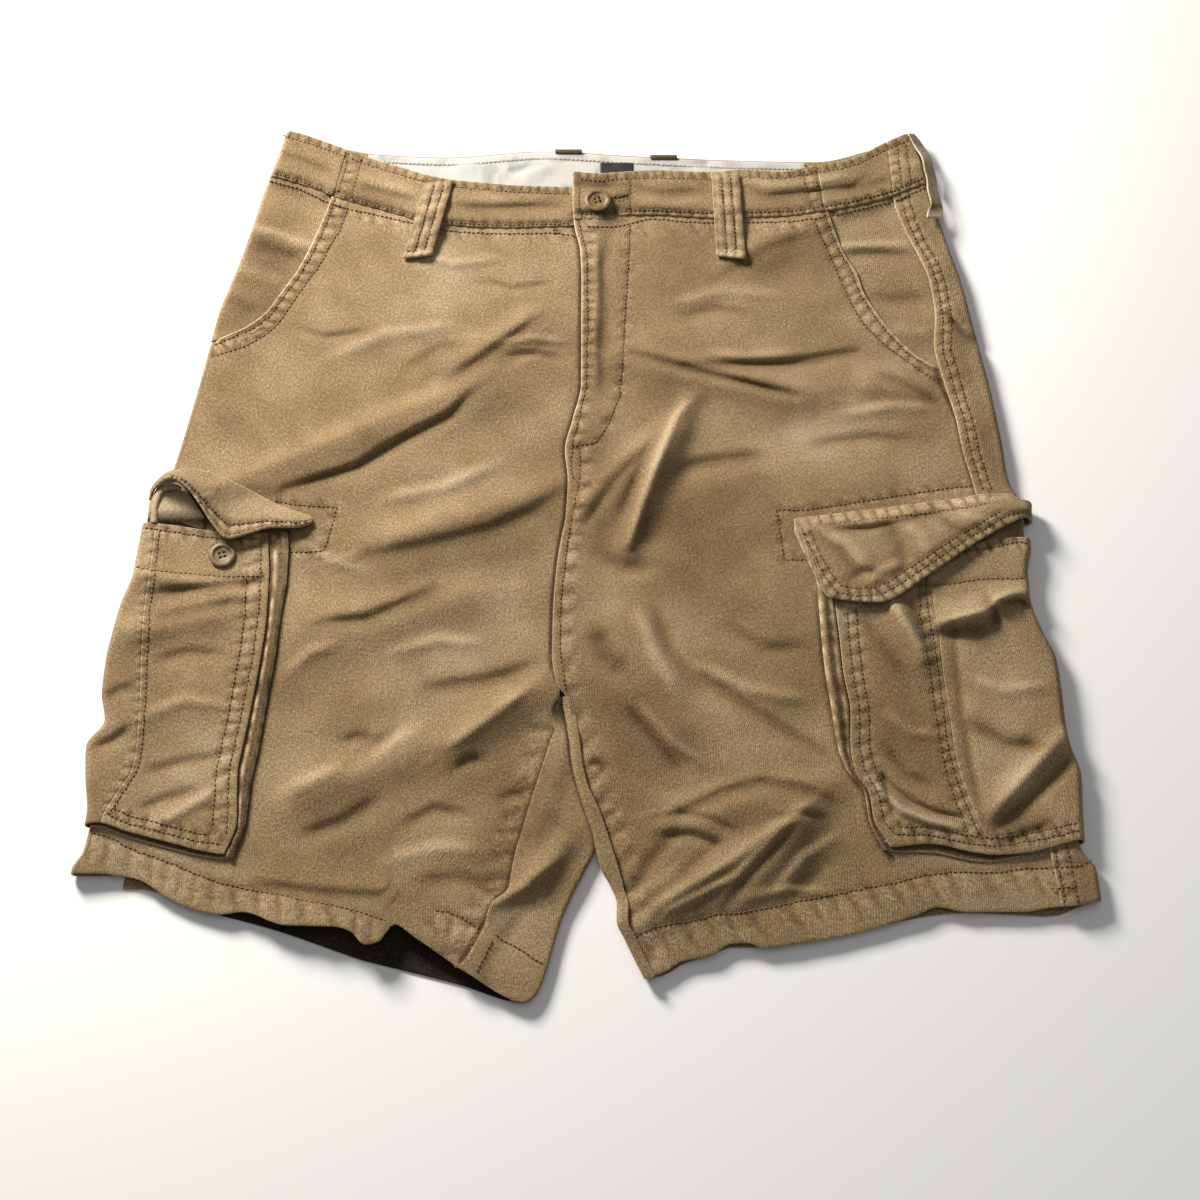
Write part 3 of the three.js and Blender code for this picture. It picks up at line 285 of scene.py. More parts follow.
SMALL_CREASES = [
    Crease(-1.9, 3, 8, [(-196, 29), (-184, 33), (-150, 45), (-122, 65), (-91, 83), (-76, 100)]),
    Crease(-1.6, 4, 8, [(-90, 110), (-62, 133), (-32, 157)]),
    Crease(1.1, 5, 9, [(-172, 126), (-135, 145), (-92, 151)]),
    Crease(-0.9, 5, 8, [(-120, 118), (-98, 133), (-70, 136)]),
    Crease(-1.5, 6, 12, [(-142, -21), (-100, -11), (-60, 0), (-35, 12), (-14, 27)]),
    Crease(1.2, 5, 7, [(-130, 22), (-92, 30), (-60, 46)]),
    Crease(-1.8, 4, 8, [(-166, -66), (-140, -63), (-115, -52), (-95, -43)]),
    Crease(1.0, 4, 6, [(-120, -86), (-95, -78), (-68, -80)]),
    Crease(-1.5, 5, 9, [(-98, -112), (-62, -106), (-32, -96)]),
    Crease(1.6, 3.5, 5, [(-84, -148), (-66, -134), (-36, -110)]),
    Crease(-1.8, 5, 6, [(-152, -164), (-135, -155), (-122, -143)]),
    Crease(-1.2, 4, 5, [(-150, -146), (-141, -143), (-132, -145)]),
    Crease(1.4, 5, 6, [(-184, -178), (-140, -158), (-104, -139)]),
    Crease(-1.4, 5, 7, [(-172, -207), (-148, -198), (-128, -185)]),
    Crease(-1.2, 4, 6, [(-110, -200), (-92, -190), (-74, -193)]),
    Crease(1.1, 5, 7, [(-120, -222), (-90, -214), (-62, -216)]),
    Crease(-1.6, 4, 6, [(-198, -238), (-160, -243), (-112, -246)]),
    Crease(-1.0, 5, 7, [(-100, -236), (-76, -234), (-52, -240)]),
    Crease(1.2, 5, 6, [(-192, -104), (-174, -86), (-160, -82)]),
    Crease(0.9, 4, 5, [(-186, -10), (-160, -24), (-142, -30)]),
    Crease(-1.3, 4, 5, [(-80, -164), (-72, -158), (-64, -157)]),
    Crease(-1.0, 4, 4, [(-52, -184), (-44, -182), (-36, -182)]),
    Crease(-1.0, 3, 4, [(-50, -197), (-43, -196), (-36, -197)]),
    Crease(-2.8, 4, 5, [(33, 130), (80, 115), (109, 107), (140, 98)]),
    Crease(-1.9, 4, 6, [(67, 121), (100, 121), (138, 122), (182, 131)]),
    Crease(1.2, 4, 5, [(84, 130), (110, 127), (142, 130)]),
    Crease(2.4, 3, 4, [(28, -12), (36, 18), (44, 40), (52, 62), (60, 82), (67, 91)]),
    Crease(-1.2, 5, 5, [(0, 3), (10, 20), (20, 36), (38, 56)]),
    Crease(-0.9, 4, 4, [(22, 6), (32, 34), (42, 60)]),
    Crease(-1.2, 6, 8, [(96, 192), (126, 212), (152, 222)]),
    Crease(0.9, 5, 6, [(60, 168), (92, 178), (130, 176)]),
    Crease(-0.8, 4, 6, [(66, 158), (88, 164), (112, 160)]),
    Crease(-1.5, 4, 6, [(198, 113), (222, 101), (241, 84)]),
    Crease(1.2, 4, 7, [(170, 84), (205, 90), (236, 88)]),
    Crease(-1.1, 5, 7, [(150, 60), (186, 66), (214, 64)]),
    Crease(-1.6, 6, 8, [(118, 52), (96, 50), (60, 44)][::-1]),
    Crease(-2.2, 9, 9, [(8, -72), (15, -90), (27, -101)]),
    Crease(-1.3, 7, 8, [(12, -20), (26, -28), (44, -26)]),
    Crease(-1.5, 5, 7, [(46, -60), (56, -86), (74, -114)]),
    Crease(1.4, 5, 6, [(36, -62), (46, -88), (60, -116)]),
    Crease(-1.8, 4, 5, [(30, -127), (48, -150), (62, -168)]),
    Crease(1.3, 4, 4, [(36, -122), (55, -146), (72, -160)]),
    Crease(-2.2, 4, 7, [(60, -192), (84, -180), (110, -173), (134, -176), (154, -186), (172, -196)]),
    Crease(-1.4, 5, 5, [(30, -254), (50, -240), (80, -214)]),
    Crease(-1.5, 4, 5, [(46, -207), (66, -206), (86, -214)]),
    Crease(1.5, 3.5, 5, [(44, -250), (90, -222), (146, -180)]),
    Crease(-1.3, 4, 5, [(84, -253), (101, -230), (127, -202)]),
    Crease(1.5, 4, 5, [(118, -240), (134, -220), (160, -204)]),
    Crease(-0.9, 5, 6, [(128, -244), (146, -226), (168, -214)]),
    Crease(-1.6, 4, 7, [(76, -104), (100, -122), (124, -138), (150, -154), (166, -168)]),
    Crease(1.2, 5, 6, [(74, -96), (104, -112), (140, -118)]),
    Crease(-1.0, 5, 6, [(92, -70), (114, -84), (138, -84)]),
    Crease(-1.2, 3.5, 3.5, [(2, -163), (8, -160), (15, -165)]),
    Crease(-0.9, 3, 3, [(10, -187), (14, -186), (18, -187)]),
    Crease(-0.9, 5, 6, [(13, 98), (10, 128), (14, 160), (11, 196), (17, 224)]),
    Crease(0.7, 3, 3, [(8, 110), (6, 140), (8, 180), (7, 222)]),
    Crease(-2.0, 3, 4, [(246, 158), (254, 146), (263, 136)]),
    Crease(1.6, 4, 5, [(-58, -252), (-36, -238), (-15, -220)]),
    Crease(-1.0, 6, 5, [(28, -246), (40, -224), (56, -206)]),
    Crease(1.3, 2.5, 4, [(50, -254), (92, -232), (124, -200)]),
    Crease(-0.9, 2.5, 4, [(40, -196), (58, -192), (78, -196), (96, -206)]),
    Crease(-1.2, 3, 4, [(116, -196), (132, -192), (150, -196)]),
    Crease(1.0, 3, 4, [(98, -246), (124, -240), (150, -243)]),
    Crease(-0.9, 3, 4, [(-70, 186), (-50, 180), (-24, 184)]),
    Crease(0.8, 3, 4, [(-116, 208), (-90, 200), (-58, 204)]),
    Crease(-0.9, 3, 4, [(-196, 150), (-176, 142), (-150, 146)]),
    Crease(1.0, 2.5, 4, [(-58, 138), (-38, 142), (-14, 139)]),
    Crease(-1.0, 2.5, 4, [(-56, 128), (-36, 130), (-16, 126)]),
]
# The right hem stands up off the back of the leg in a low arch.
HEM_LIFT = SimpleNamespace(x=-142, y=-278, rise=8.5, along_x=62, along_y=38)
# Broad soft patches of the cloth made lighter or, with a negative amount, darker
Fade = namedtuple("Fade", "amount x y across along")
TONE_PATCHES = [
    Fade(-0.5, -216, 200, 30, 60), Fade(-0.3, -178, 60, 34, 30), Fade(0.2, -95, 185, 60, 30),
    Fade(-0.5, 72, 4, 46, 34), Fade(-0.4, 84, 205, 60, 26), Fade(0.35, 155, 66, 44, 26),
    Fade(-0.4, -34, -222, 24, 40), Fade(0.2, 68, -70, 44, 26), Fade(0.3, -240, -170, 30, 40),
    Fade(-0.35, 198, -118, 22, 60), Fade(0.4, 262, -130, 30, 60), Fade(0.25, -110, -90, 60, 40),
    Fade(-0.35, 6, 150, 10, 90), Fade(-0.3, 30, -120, 24, 60),
]
BELLY = 4.9  # middle of the front layer over the table, away from creases and folds
WAIST_BELLY = 5.2
SIDE_RISE = 2.6  # how much higher it lies beside a side fold
LEAST = 2.7  # the front layer never sinks lower than this
FOLD_SCALE = 1.3  # height of a large fold over its rise in the list
CREASE_SCALE = 1.5  # and of a small crease
CREASE_SHARP = 1.25


def beside(x, y, line):
    """How far each place is off a line, positive to the left of its course, and how far along."""
    near = np.full(np.shape(x), 1e9)
    off = np.zeros_like(near)
    run = np.zeros_like(near)
    travelled = 0.0
    for (ax, ay), (bx, by) in zip(line, line[1:]):
        dx, dy = bx - ax, by - ay
        length = math.hypot(dx, dy)
        t = np.clip(((x - ax) * dx + (y - ay) * dy) / length ** 2, 0, 1)
        gap = np.hypot(x - ax - t * dx, y - ay - t * dy)
        side = np.where(dx * (y - ay) - dy * (x - ax) >= 0, 1, -1)
        closer = gap < near
        off = np.where(closer, gap * side, off)
        run = np.where(closer, travelled + t * length, run)
        near = np.where(closer, gap, near)
        travelled += length
    return off, run, travelled


def creased(x, y, rows, sharp=1.0):
    """Height of all the creases of a list; sharp narrows them."""
    total = np.zeros(np.shape(x))
    for row in rows:
        off, run, length = beside(x, y, row.line)
        s = run / length
        ends = smooth((s + 0.18) / 0.4) * smooth((1.18 - s) / 0.4)
        total += row.rise * ends * bell(off * sharp, np.where(off > 0, row.upper, row.lower))
    return total


def ripple(x, y):
    """Slow unevenness that washed cloth keeps, a fraction of a millimetre high."""
    waves = ((0.30, 61, 1.25, 0.0), (0.22, 37, 1.9, 1.1), (0.10, 23, 0.6, 2.3))
    total = 0
    for high, long, way, start in waves:
        bend = 0.8 * np.sin(x / 57 + y / 83 + start)
        run = x * math.cos(way) + y * math.sin(way)
        total = total + high * np.sin(2 * np.pi * run / long + start + bend)
    return total


def under_pocket(x, y):
    """1 where a cargo pocket covers the leg, whose folds stay out from under it, and 0 elsewhere."""
    down = smooth((34 - y) / 20) * smooth((y + 238) / 16)
    return down * np.maximum(smooth((-176 - x) / 26), smooth((x - 128) / 44))


def front(x, y):
    """Middle of the front layer over the table."""
    side = 1 - smooth(np.minimum(x - SECTION.fold_right(y), SECTION.fold_left(y) - x) / 42)
    hem = HEM_LIFT.rise * bell(x - HEM_LIFT.x, HEM_LIFT.along_x) * bell(y - HEM_LIFT.y, HEM_LIFT.along_y)
    large = FOLD_SCALE * creased(x, y, LARGE_FOLDS)
    small = CREASE_SCALE * creased(x, y, SMALL_CREASES, CREASE_SHARP)
    folds = large + small + hem + ripple(x, y)
    high = lerp(BELLY, WAIST_BELLY, smooth((y - 200) / 40)) + SIDE_RISE * side
    return np.maximum(high + folds * (1 - under_pocket(x, y)), LEAST)


def broad_tone(x, y):
    """Broad soft patches made lighter or darker."""
    return sum(row.amount * bell(x - row.x, row.across) * bell(y - row.y, row.along) for row in TONE_PATCHES)


def crease_wear_and_shade(x, y):
    """Tone of the creases over the broad patches: paler on the ridges, which rub, and darker in the troughs
    as painted shade.
    """
    return 0.3 * creased(x, y, SMALL_CREASES, 1.3) * (1 - under_pocket(x, y)) + broad_tone(x, y)


def patch(left, right, top, bottom):
    """Plan places between two edges read across and two read along."""
    def read(u, v):
        x = lerp(left(0.0), right(0.0), u)
        y = lerp(top(x), bottom(x), v)
        for _ in range(24):
            x = lerp(left(y), right(y), u)
            y = lerp(y, lerp(top(x), bottom(x), v), 0.7)
        return x, y
    return read


def spread(area, across, along, height, relief=None):
    """Rows of middle points over an area, with the wear and painted shade and the seam tone of each."""
    v, u = np.meshgrid(along, across, indexing="ij")
    x, y = area(u, v)
    rise, wear_and_painted_shade, seam = relief(x, y) if relief else (0, np.zeros_like(x), np.zeros_like(x))
    return SimpleNamespace(points=place(x, y, height(x, y) + rise), wear_and_painted_shade=wear_and_painted_shade, seam=seam, x=x, y=y)


def turn(start, end, bulge, count):
    """Points of a soft fold from one layer to another, bulging sideways."""
    t = np.linspace(0, 1, count + 2)[1:-1][None, :, None]
    points = lerp(start[:, None], end[:, None], (1 - np.cos(np.pi * t)) / 2)
    points[..., 0] += bulge * np.sin(np.pi * t[..., 0])
    return points


def straight(start, end, count):
    """Points in a line, both ends among them."""
    return lerp(start[:, None], end[:, None], np.linspace(0, 1, count)[None, :, None])


def cloth_mesh(name, points, wall=CLOTH, wear_and_painted_shade=None, seam=None, rim=0.55):
    """A closed wall of cloth on rows of middle points, with a rounded rim that is worn light.

    Points that are not a number leave their cells out. The UV map follows the cloth in metres.
    """
    there = np.isfinite(points[..., 0])
    number = np.where(there, np.cumsum(there).reshape(there.shape) - 1, -1)
    corners = [number[:-1, :-1], number[1:, :-1], number[1:, 1:], number[:-1, 1:]]
    cells = np.stack(corners, -1).reshape(-1, 4)
    cells = cells[(cells >= 0).all(1)]
    middle = points[there]
    count = len(middle)
    facing = np.cross(middle[cells[:, 2]] - middle[cells[:, 0]], middle[cells[:, 3]] - middle[cells[:, 1]])
    normal = np.zeros((count, 3))
    for corner in range(4):
        np.add.at(normal, cells[:, corner], facing)
    normal /= np.maximum(np.linalg.norm(normal, axis=1, keepdims=True), 1e-9)
    edges = np.concatenate([cells[:, [k, (k + 1) % 4]] for k in range(4)])
    codes = edges[:, 0] * count + edges[:, 1]
    edges = edges[~np.isin(codes, edges[:, 1] * count + edges[:, 0])]
    outward = np.zeros((count, 3))
    course = middle[edges[:, 1]] - middle[edges[:, 0]]
    for end in range(2):
        np.add.at(outward, edges[:, end], np.cross(course, normal[edges[:, end]]))
    outward /= np.maximum(np.linalg.norm(outward, axis=1, keepdims=True), 1e-9)
    half = (np.broadcast_to(wall, there.shape)[there] / 2)[:, None]
    border = np.unique(edges)
    seat = np.full(count, -1)
    seat[border] = np.arange(len(border))
    layers = [middle + normal * half, middle - normal * half]
    for angle in (45, 0, -45):
        lift, reach = math.sin(math.radians(angle)), math.cos(math.radians(angle))
        layers.append((middle + half * (normal * lift + outward * reach))[border])
    rings = [edges] + [2 * count + k * len(border) + seat[edges] for k in range(3)] + [edges + count]
    faces = [cells, cells[:, ::-1] + count]
    for upper, lower in zip(rings, rings[1:]):
        faces.append(np.stack([upper[:, 0], lower[:, 0], lower[:, 1], upper[:, 1]], 1))
    faces = np.concatenate(faces)
    mesh = bpy.data.meshes.new(name)
    mesh.from_pydata((np.concatenate(layers) * MM).tolist(), [], faces.tolist())
    mesh.shade_smooth()
    source = np.concatenate([np.arange(count)] * 2 + [border] * 3)
    filled = np.nan_to_num(points)
    steps_across = np.linalg.norm(np.diff(filled, axis=1, prepend=filled[:, :1]), axis=2)
    steps_along = np.linalg.norm(np.diff(filled, axis=0, prepend=filled[:1]), axis=2)
    chart = np.stack([np.cumsum(steps_across, 1), -np.cumsum(steps_along, 0)], -1)[there] * MM
    layer = mesh.uv_layers.new(name="UVMap")
    layer.data.foreach_set("uv", chart[source][faces.ravel()].astype(np.float32).ravel())
    # The first attribute holds worn light rims and edges together with the painted shade and painted
    # highlights that the pieces pass in.
    on_rim = np.repeat([0, rim], [2 * count, 3 * len(border)])
    for title, values in (("wear_and_painted_shade", wear_and_painted_shade), ("seam", seam)):
        values = np.zeros(there.shape) if values is None else np.broadcast_to(values, there.shape)
        values = values[there][source] + (on_rim if title == "wear_and_painted_shade" else 0)
        mesh.attributes.new(title, "FLOAT", "POINT").data.foreach_set("value", values.astype(np.float32))
    piece = bpy.data.objects.new(name, mesh)
    bpy.context.scene.collection.objects.link(piece)
    return piece


# Garment-washed cotton twill: matt, faded in slow patches and pale on edges that rub. Its tone also carries
# painted shade in crease troughs, stitch grooves, hollows and where one layer meets the next, and some
# painted highlight on raised folds. The real twill line is 0.5 mm and is drawn at 1.3 mm so that it shows.
def washed_twill():
    material, tree, output = new_material("cotton_twill_khaki")
    chart = add_node(tree, "ShaderNodeUVMap", uv_map="UVMap").outputs["UV"]
    slant = add_node(tree, "ShaderNodeMapping", {"Vector": chart, "Rotation": (0, 0, math.radians(27))})
    twill = add_node(tree, "ShaderNodeTexWave", {
        "Vector": slant.outputs["Vector"], "Scale": 0.314 / 0.0013, "Distortion": 3.4, "Detail": 2,
        "Detail Scale": 1.4})
    fleck = add_node(tree, "ShaderNodeTexNoise", {
        "Vector": chart, "Scale": 620, "Detail": 3, "Roughness": 0.7})
    fade = add_node(tree, "ShaderNodeTexNoise", {
        "Vector": chart, "Scale": 13, "Detail": 4, "Roughness": 0.6})
    mottle = add_node(tree, "ShaderNodeTexNoise", {
        "Vector": chart, "Scale": 190, "Detail": 2, "Distortion": 0.6})
    level = add_node(tree, "ShaderNodeMapping", {
        "Vector": chart, "Scale": (1, 1.1, 1), "Rotation": (0, 0, 0.5)})
    rumple = add_node(tree, "ShaderNodeTexNoise", {
        "Vector": level.outputs["Vector"], "Scale": 20, "Detail": 3, "Distortion": 0.3})
    crinkle = add_node(tree, "ShaderNodeTexNoise", {
        "Vector": level.outputs["Vector"], "Scale": 85, "Detail": 4, "Roughness": 0.6, "Distortion": 0.9})
    # This attribute adds the worn edges together with the painted shade and highlights laid into each
    # piece.
    wear_and_painted_shade = add_node(tree, "ShaderNodeAttribute", attribute_name="wear_and_painted_shade").outputs["Fac"]
    seam = add_node(tree, "ShaderNodeAttribute", attribute_name="seam").outputs["Fac"]
    mottled = add_node(tree, "ShaderNodeMath", {0: mottle.outputs["Fac"], 1: 0.5}, operation="SUBTRACT")
    rubbed = add_node(tree, "ShaderNodeMath", {0: mottled.outputs[0], 1: seam}, operation="MULTIPLY")
    tone = wear_and_painted_shade
    for pattern, middle, amount in (
            (fade.outputs["Fac"], 0.5, 1.9), (rubbed.outputs[0], 0.0, 1.2),
            (fleck.outputs["Fac"], 0.5, 2.9), (twill.outputs["Fac"], 0.5, 0.35)):
        off = add_node(tree, "ShaderNodeMath", {0: pattern, 1: middle}, operation="SUBTRACT")
        tone = add_node(tree, "ShaderNodeMath", {0: off.outputs[0], 1: amount, 2: tone},
                        operation="MULTIPLY_ADD").outputs[0]
    shade = add_node(tree, "ShaderNodeMath", {0: tone, 1: 0.25, 2: 0.5}, operation="MULTIPLY_ADD")
    dye = add_node(tree, "ShaderNodeValToRGB", {"Fac": shade.outputs[0]})
    # The darkest stops carry the painted shade of the leg opening and of the arch under the right flap.
    shades = ((0.0, "#0E0B07"), (0.25, "#4A381D"), (0.5, "#846B48"), (0.75, "#B4A080"), (1.0, "#D2C8B2"))
    for stop, code in shades[1:-1]:
        dye.color_ramp.elements.new(stop).color = linear(code)
    dye.color_ramp.elements[0].color = linear(shades[0][1])
    dye.color_ramp.elements[-1].color = linear(shades[-1][1])
    relief = add_node(tree, "ShaderNodeBump", {
        "Strength": 0.5, "Distance": 0.002, "Height": rumple.outputs["Fac"]})
    for strength, depth, height in (
            (0.5, 0.0009, crinkle.outputs["Fac"]), (0.6, 0.0009, rubbed.outputs[0]),
            (0.4, 0.00025, twill.outputs["Fac"]), (0.6, 0.0005, fleck.outputs["Fac"])):
        relief = add_node(tree, "ShaderNodeBump", {
            "Strength": strength, "Distance": depth, "Height": height, "Normal": relief.outputs["Normal"]})
    cotton = add_node(tree, "ShaderNodeBsdfPrincipled", {
        "Base Color": dye.outputs["Color"], "Roughness": 0.9, "Specular IOR Level": 0.2,
        "Sheen Weight": 0.1, "Sheen Roughness": 0.6, "Normal": relief.outputs["Normal"]})
    tree.links.new(cotton.outputs["BSDF"], output.inputs["Surface"])
    return material


TWILL = washed_twill()
Pucker = namedtuple("Pucker", "depth tone reach pitch line")


def puckered(x, y, rows, stitch_lines=()):
    """Rise, tone and seam tone of puckered seams and of the grooves their stitches pull in, darkened as
    painted shade.
    """
    rise, wear_and_painted_shade, seam = np.zeros_like(x), np.zeros_like(x), np.zeros_like(x)
    for row in rows:
        off, run, length = beside(x, y, row.line)
        near = np.exp(-(off / row.reach) ** 4)
        stray = 2.2 * np.sin(run / 23 + length) + 1.1 * np.sin(run / 9.7)
        wave = np.sin(2 * np.pi * run / row.pitch + stray + off / 6)
        rise += 1.35 * row.depth * near * wave
        wear_and_painted_shade += 2.0 * row.tone * near * (0.36 - np.maximum(0, -wave) ** 1.5)
        seam = np.maximum(seam, near)
    for line in stitch_lines:
        off, run, length = beside(x, y, line)
        near = bell(off, 1.7)
        # Each stitch groove sinks the cloth and darkens it as painted shade.
        rise -= 0.4 * near
        wear_and_painted_shade -= 0.3 * near
    return rise, wear_and_painted_shade, seam


# Brown core-spun thread: hard, slightly glossy, darker than the cloth. A real top thread is 0.4 mm
# thick, and is drawn at 0.9 mm so that each stitch shows.
def spun_thread():
    material, tree, output = new_material("polyester_thread_brown")
    place_in = add_node(tree, "ShaderNodeTexCoord").outputs["Object"]
    strand = add_node(tree, "ShaderNodeTexNoise", {"Vector": place_in, "Scale": 900, "Detail": 2})
    tint = add_node(tree, "ShaderNodeValToRGB", {"Fac": strand.outputs["Fac"]})
    tint.color_ramp.elements[0].color = linear("#42301A")
    tint.color_ramp.elements[1].color = linear("#7E6138")
    ply = add_node(tree, "ShaderNodeBump", {
        "Strength": 0.4, "Distance": 0.0002, "Height": strand.outputs["Fac"]})
    fibre = add_node(tree, "ShaderNodeBsdfPrincipled", {
        "Base Color": tint.outputs["Color"], "Roughness": 0.6, "Normal": ply.outputs["Normal"]})
    tree.links.new(fibre.outputs["BSDF"], output.inputs["Surface"])
    return material


THREAD = spun_thread()
STITCH = SimpleNamespace(pitch=3.1, length=2.75, radius=0.46, sides=5)


def stitches(name, lines, height, lift=CLOTH / 2 + 0.1, finish=THREAD, size=STITCH):
    """Rows of single stitches along plan lines, each bowed up out of the cloth."""
    chance = np.random.default_rng(7)
    n = size.sides
    verts, faces = [], []
    for line in lines:
        line = np.array(line, float)
        steps = np.hypot(*np.diff(line, axis=0).T)
        marks = np.concatenate([[0], np.cumsum(steps)])
        starts = np.arange(0, marks[-1] - size.length * 0.6, size.pitch)
        if not len(starts):
            continue
        t = np.array([0, 0.3, 0.7, 1])
        run = starts[:, None] + t * size.length
        stray = chance.normal(0, 0.18, (len(starts), 1)) + chance.normal(0, 0.12, (len(starts), 4))
        x = np.interp(run, marks, line[:, 0])
        y = np.interp(run, marks, line[:, 1])
        dx, dy = np.gradient(x, axis=1), np.gradient(y, axis=1)
        scale = np.maximum(np.hypot(dx, dy), 1e-6)
        side = np.stack([-dy / scale, dx / scale, 0 * dx], -1)
        x, y = x + side[..., 0] * stray, y + side[..., 1] * stray
        bow = np.array([-0.25, 0.2, 0.2, -0.25])
        centre = place(x, y, height(x, y) + lift + bow)
        radius = size.radius * np.array([0.6, 1, 1, 0.6])[None, :, None]
        for k in range(n):
            turned = 2 * math.pi * k / n
            ring = centre + radius * (side * math.cos(turned) + np.array([0, 0, math.sin(turned)]))
            verts.append(ring)
        count = len(starts)
        rings = np.stack(verts[-n:], 2).reshape(-1, 3)
        del verts[-n:]
        base = sum(len(block) for block in verts)
        verts.append(rings)
        for step in range(3):
            for k in range(n):
                first = base + np.arange(count) * 4 * n + step * n
                after = first + (k + 1) % n
                faces.append(np.stack([first + k, after, after + n, first + n + k], 1))
    faces = [face for block in faces for face in block.tolist()]
    total = sum(len(block) for block in verts)
    for first in range(0, total, 4 * n):
        faces.append([first + k for k in reversed(range(n))])
        faces.append([first + 3 * n + k for k in range(n)])
    mesh = bpy.data.meshes.new(name)
    mesh.from_pydata((np.concatenate(verts) * MM).tolist(), [], faces)
    mesh.shade_smooth()
    mesh.materials.append(finish)
    piece = bpy.data.objects.new(name, mesh)
    bpy.context.scene.collection.objects.link(piece)
    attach(piece, "root")
    return piece


def lay_out(piece, nodes, finish=TWILL):
    """Gives a cloth piece its finish, sets it on the root body and hides the parts that it stands for."""
    piece.data.materials.append(finish)
    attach(piece, "root")
    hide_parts(*nodes)


def add_strip(piece):
    """Gives a strip that goes with another piece its twill and its body."""
    piece.data.materials.append(TWILL)
    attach(piece, "root")


def beside_pocket(y):
    """1 at the heights where a cargo pocket lies on the leg, and 0 above and below it."""
    return smooth((22 - y) / 14) * smooth((y + 228) / 12)


def leg_right(y):
    return SECTION.fold_right(y) + FOLD + POCKET_TUCK * beside_pocket(y)


def leg_left(y):
    return SECTION.fold_left(y) - FOLD - POCKET_TUCK * beside_pocket(y)


def under_band_right(x):
    return WAIST_RIGHT.seam(x) + TUCK


def under_band_left(x):
    return WAIST_LEFT.seam(x) + TUCK


def right_inner(y):
    lower = np.minimum(INNER.inseam_right(y) + TUCK, INNER.fold_right(y) - FOLD - 4.2)
    upper = SECTION.centre(y) + TUCK * smooth((y - CROTCH) / 30)
    return lerp(lower, upper, smooth((y - CROTCH + 14) / 14))


def right_outer(y):
    return np.where(y > MOUTH_END_RIGHT, MOUTH.right(y), leg_right(y))


MOUTH_EDGE_RIGHT = [(-176, 257), (-180, 240), (-185, 224), (-191, 207), (-198, 192), (-207, 177),
                    (-215, 162), (-222, 155), (-230, 149), (-252, 138)]
MOUTH_STITCH_RIGHT = [(-166, 243), (-170, 227), (-177, 212), (-183, 198), (-192, 183), (-200, 168),
                      (-207, 155), (-215, 145), (-230, 135), (-253, 127)]
MOUTH_INNER_RIGHT = [(x + 2.2, y - 1.4) for x, y in MOUTH_EDGE_RIGHT]
MOUTH_MIDDLE_RIGHT = [(-171, 248), (-175, 233), (-181, 217), (-187, 203), (-195, 187), (-203, 173),
                      (-211, 159), (-218, 150), (-230, 142), (-250, 133)]
HEM_STITCH_RIGHT = [(-301, -204.5), (-290, -207.5), (-280, -213), (-270, -217.5),
                    (-260, -220.5), (-250, -224.5), (-240, -229), (-230, -233), (-220, -236.5),
                    (-210, -239), (-200, -241), (-180, -244.5), (-170, -247), (-150, -250.5),
                    (-140, -253), (-130, -256), (-118, -260)]
HEM_STITCH_INNER = [(-90, -253.5), (-83, -254), (-75, -257), (-63, -265)]
INSEAM_RIGHT = [(-16, -133), (-20.5, -145), (-25, -160), (-29.5, -175), (-34, -190), (-38, -205),
                (-41, -215), (-43.5, -228), (-45.5, -240), (-56, -250), (-59, -260), (-66.5, -272),
                (-73.5, -285)]
PATCH_STITCH_RIGHT = [(-203, 20), (-190, 17.5), (-175, 16), (-162, 15.5), (-165, 0), (-169, -16),
                      (-191, -16.5)]


def hem_line(line, depth):
    """The line that runs a little way below a hem's stitches, where the hem puckers."""
    return [(x - 1, y - depth) for x, y in line]


PUCKERS_RIGHT = [
    Pucker(0.27, 0.5, 5.5, 8.5, MOUTH_MIDDLE_RIGHT),
    Pucker(0.3, 0.22, 9, 13, hem_line(HEM_STITCH_RIGHT, 9)),
    Pucker(0.24, 0.22, 7, 12, hem_line(HEM_STITCH_INNER, 9)),
    Pucker(0.3, 0.3, 7, 15, [(x - 8, y) for x, y in INSEAM_RIGHT]),
    Pucker(0.18, 0.25, 5, 12, PATCH_STITCH_RIGHT),
    Pucker(0.15, 0.2, 5, 13, [(-215, 264), (-190, 252), (-160, 240), (-130, 231), (-93, 224), (-50, 221),
                              (-12, 222)]),
]


def painted_seam_shadow(x, y, line, depth=1.4, width=1.7):
    """Painted shadow: the dark line along which one layer meets the next."""
    return -depth * bell(beside(x, y, line)[0], width)


FLANGE_RIGHT = [(-192.5, -2), (-191, -15), (-191, -35), (-193.5, -60), (-195.5, -90), (-199, -120),
                (-202, -150), (-204.5, -165), (-206, -180), (-207, -198), (-213, -219)]


def relief_right(x, y):
    rise, wear_and_painted_shade, seam = puckered(x, y, PUCKERS_RIGHT, [
        MOUTH_STITCH_RIGHT, MOUTH_INNER_RIGHT, HEM_STITCH_RIGHT, HEM_STITCH_INNER, PATCH_STITCH_RIGHT])
    # Painted shadows darken the cloth along the inseam and beside the cargo pocket's flange.
    wear_and_painted_shade += painted_seam_shadow(x, y, INSEAM_RIGHT) + painted_seam_shadow(x, y, FLANGE_RIGHT, 1.0)
    # A painted shadow darkens the right panel just beside the fly edge that laps over it.
    wear_and_painted_shade -= 1.5 * bell(x - SECTION.centre(y) + 1.4, 1.4) * smooth((y - CROTCH) / 20)
    return rise, wear_and_painted_shade, seam


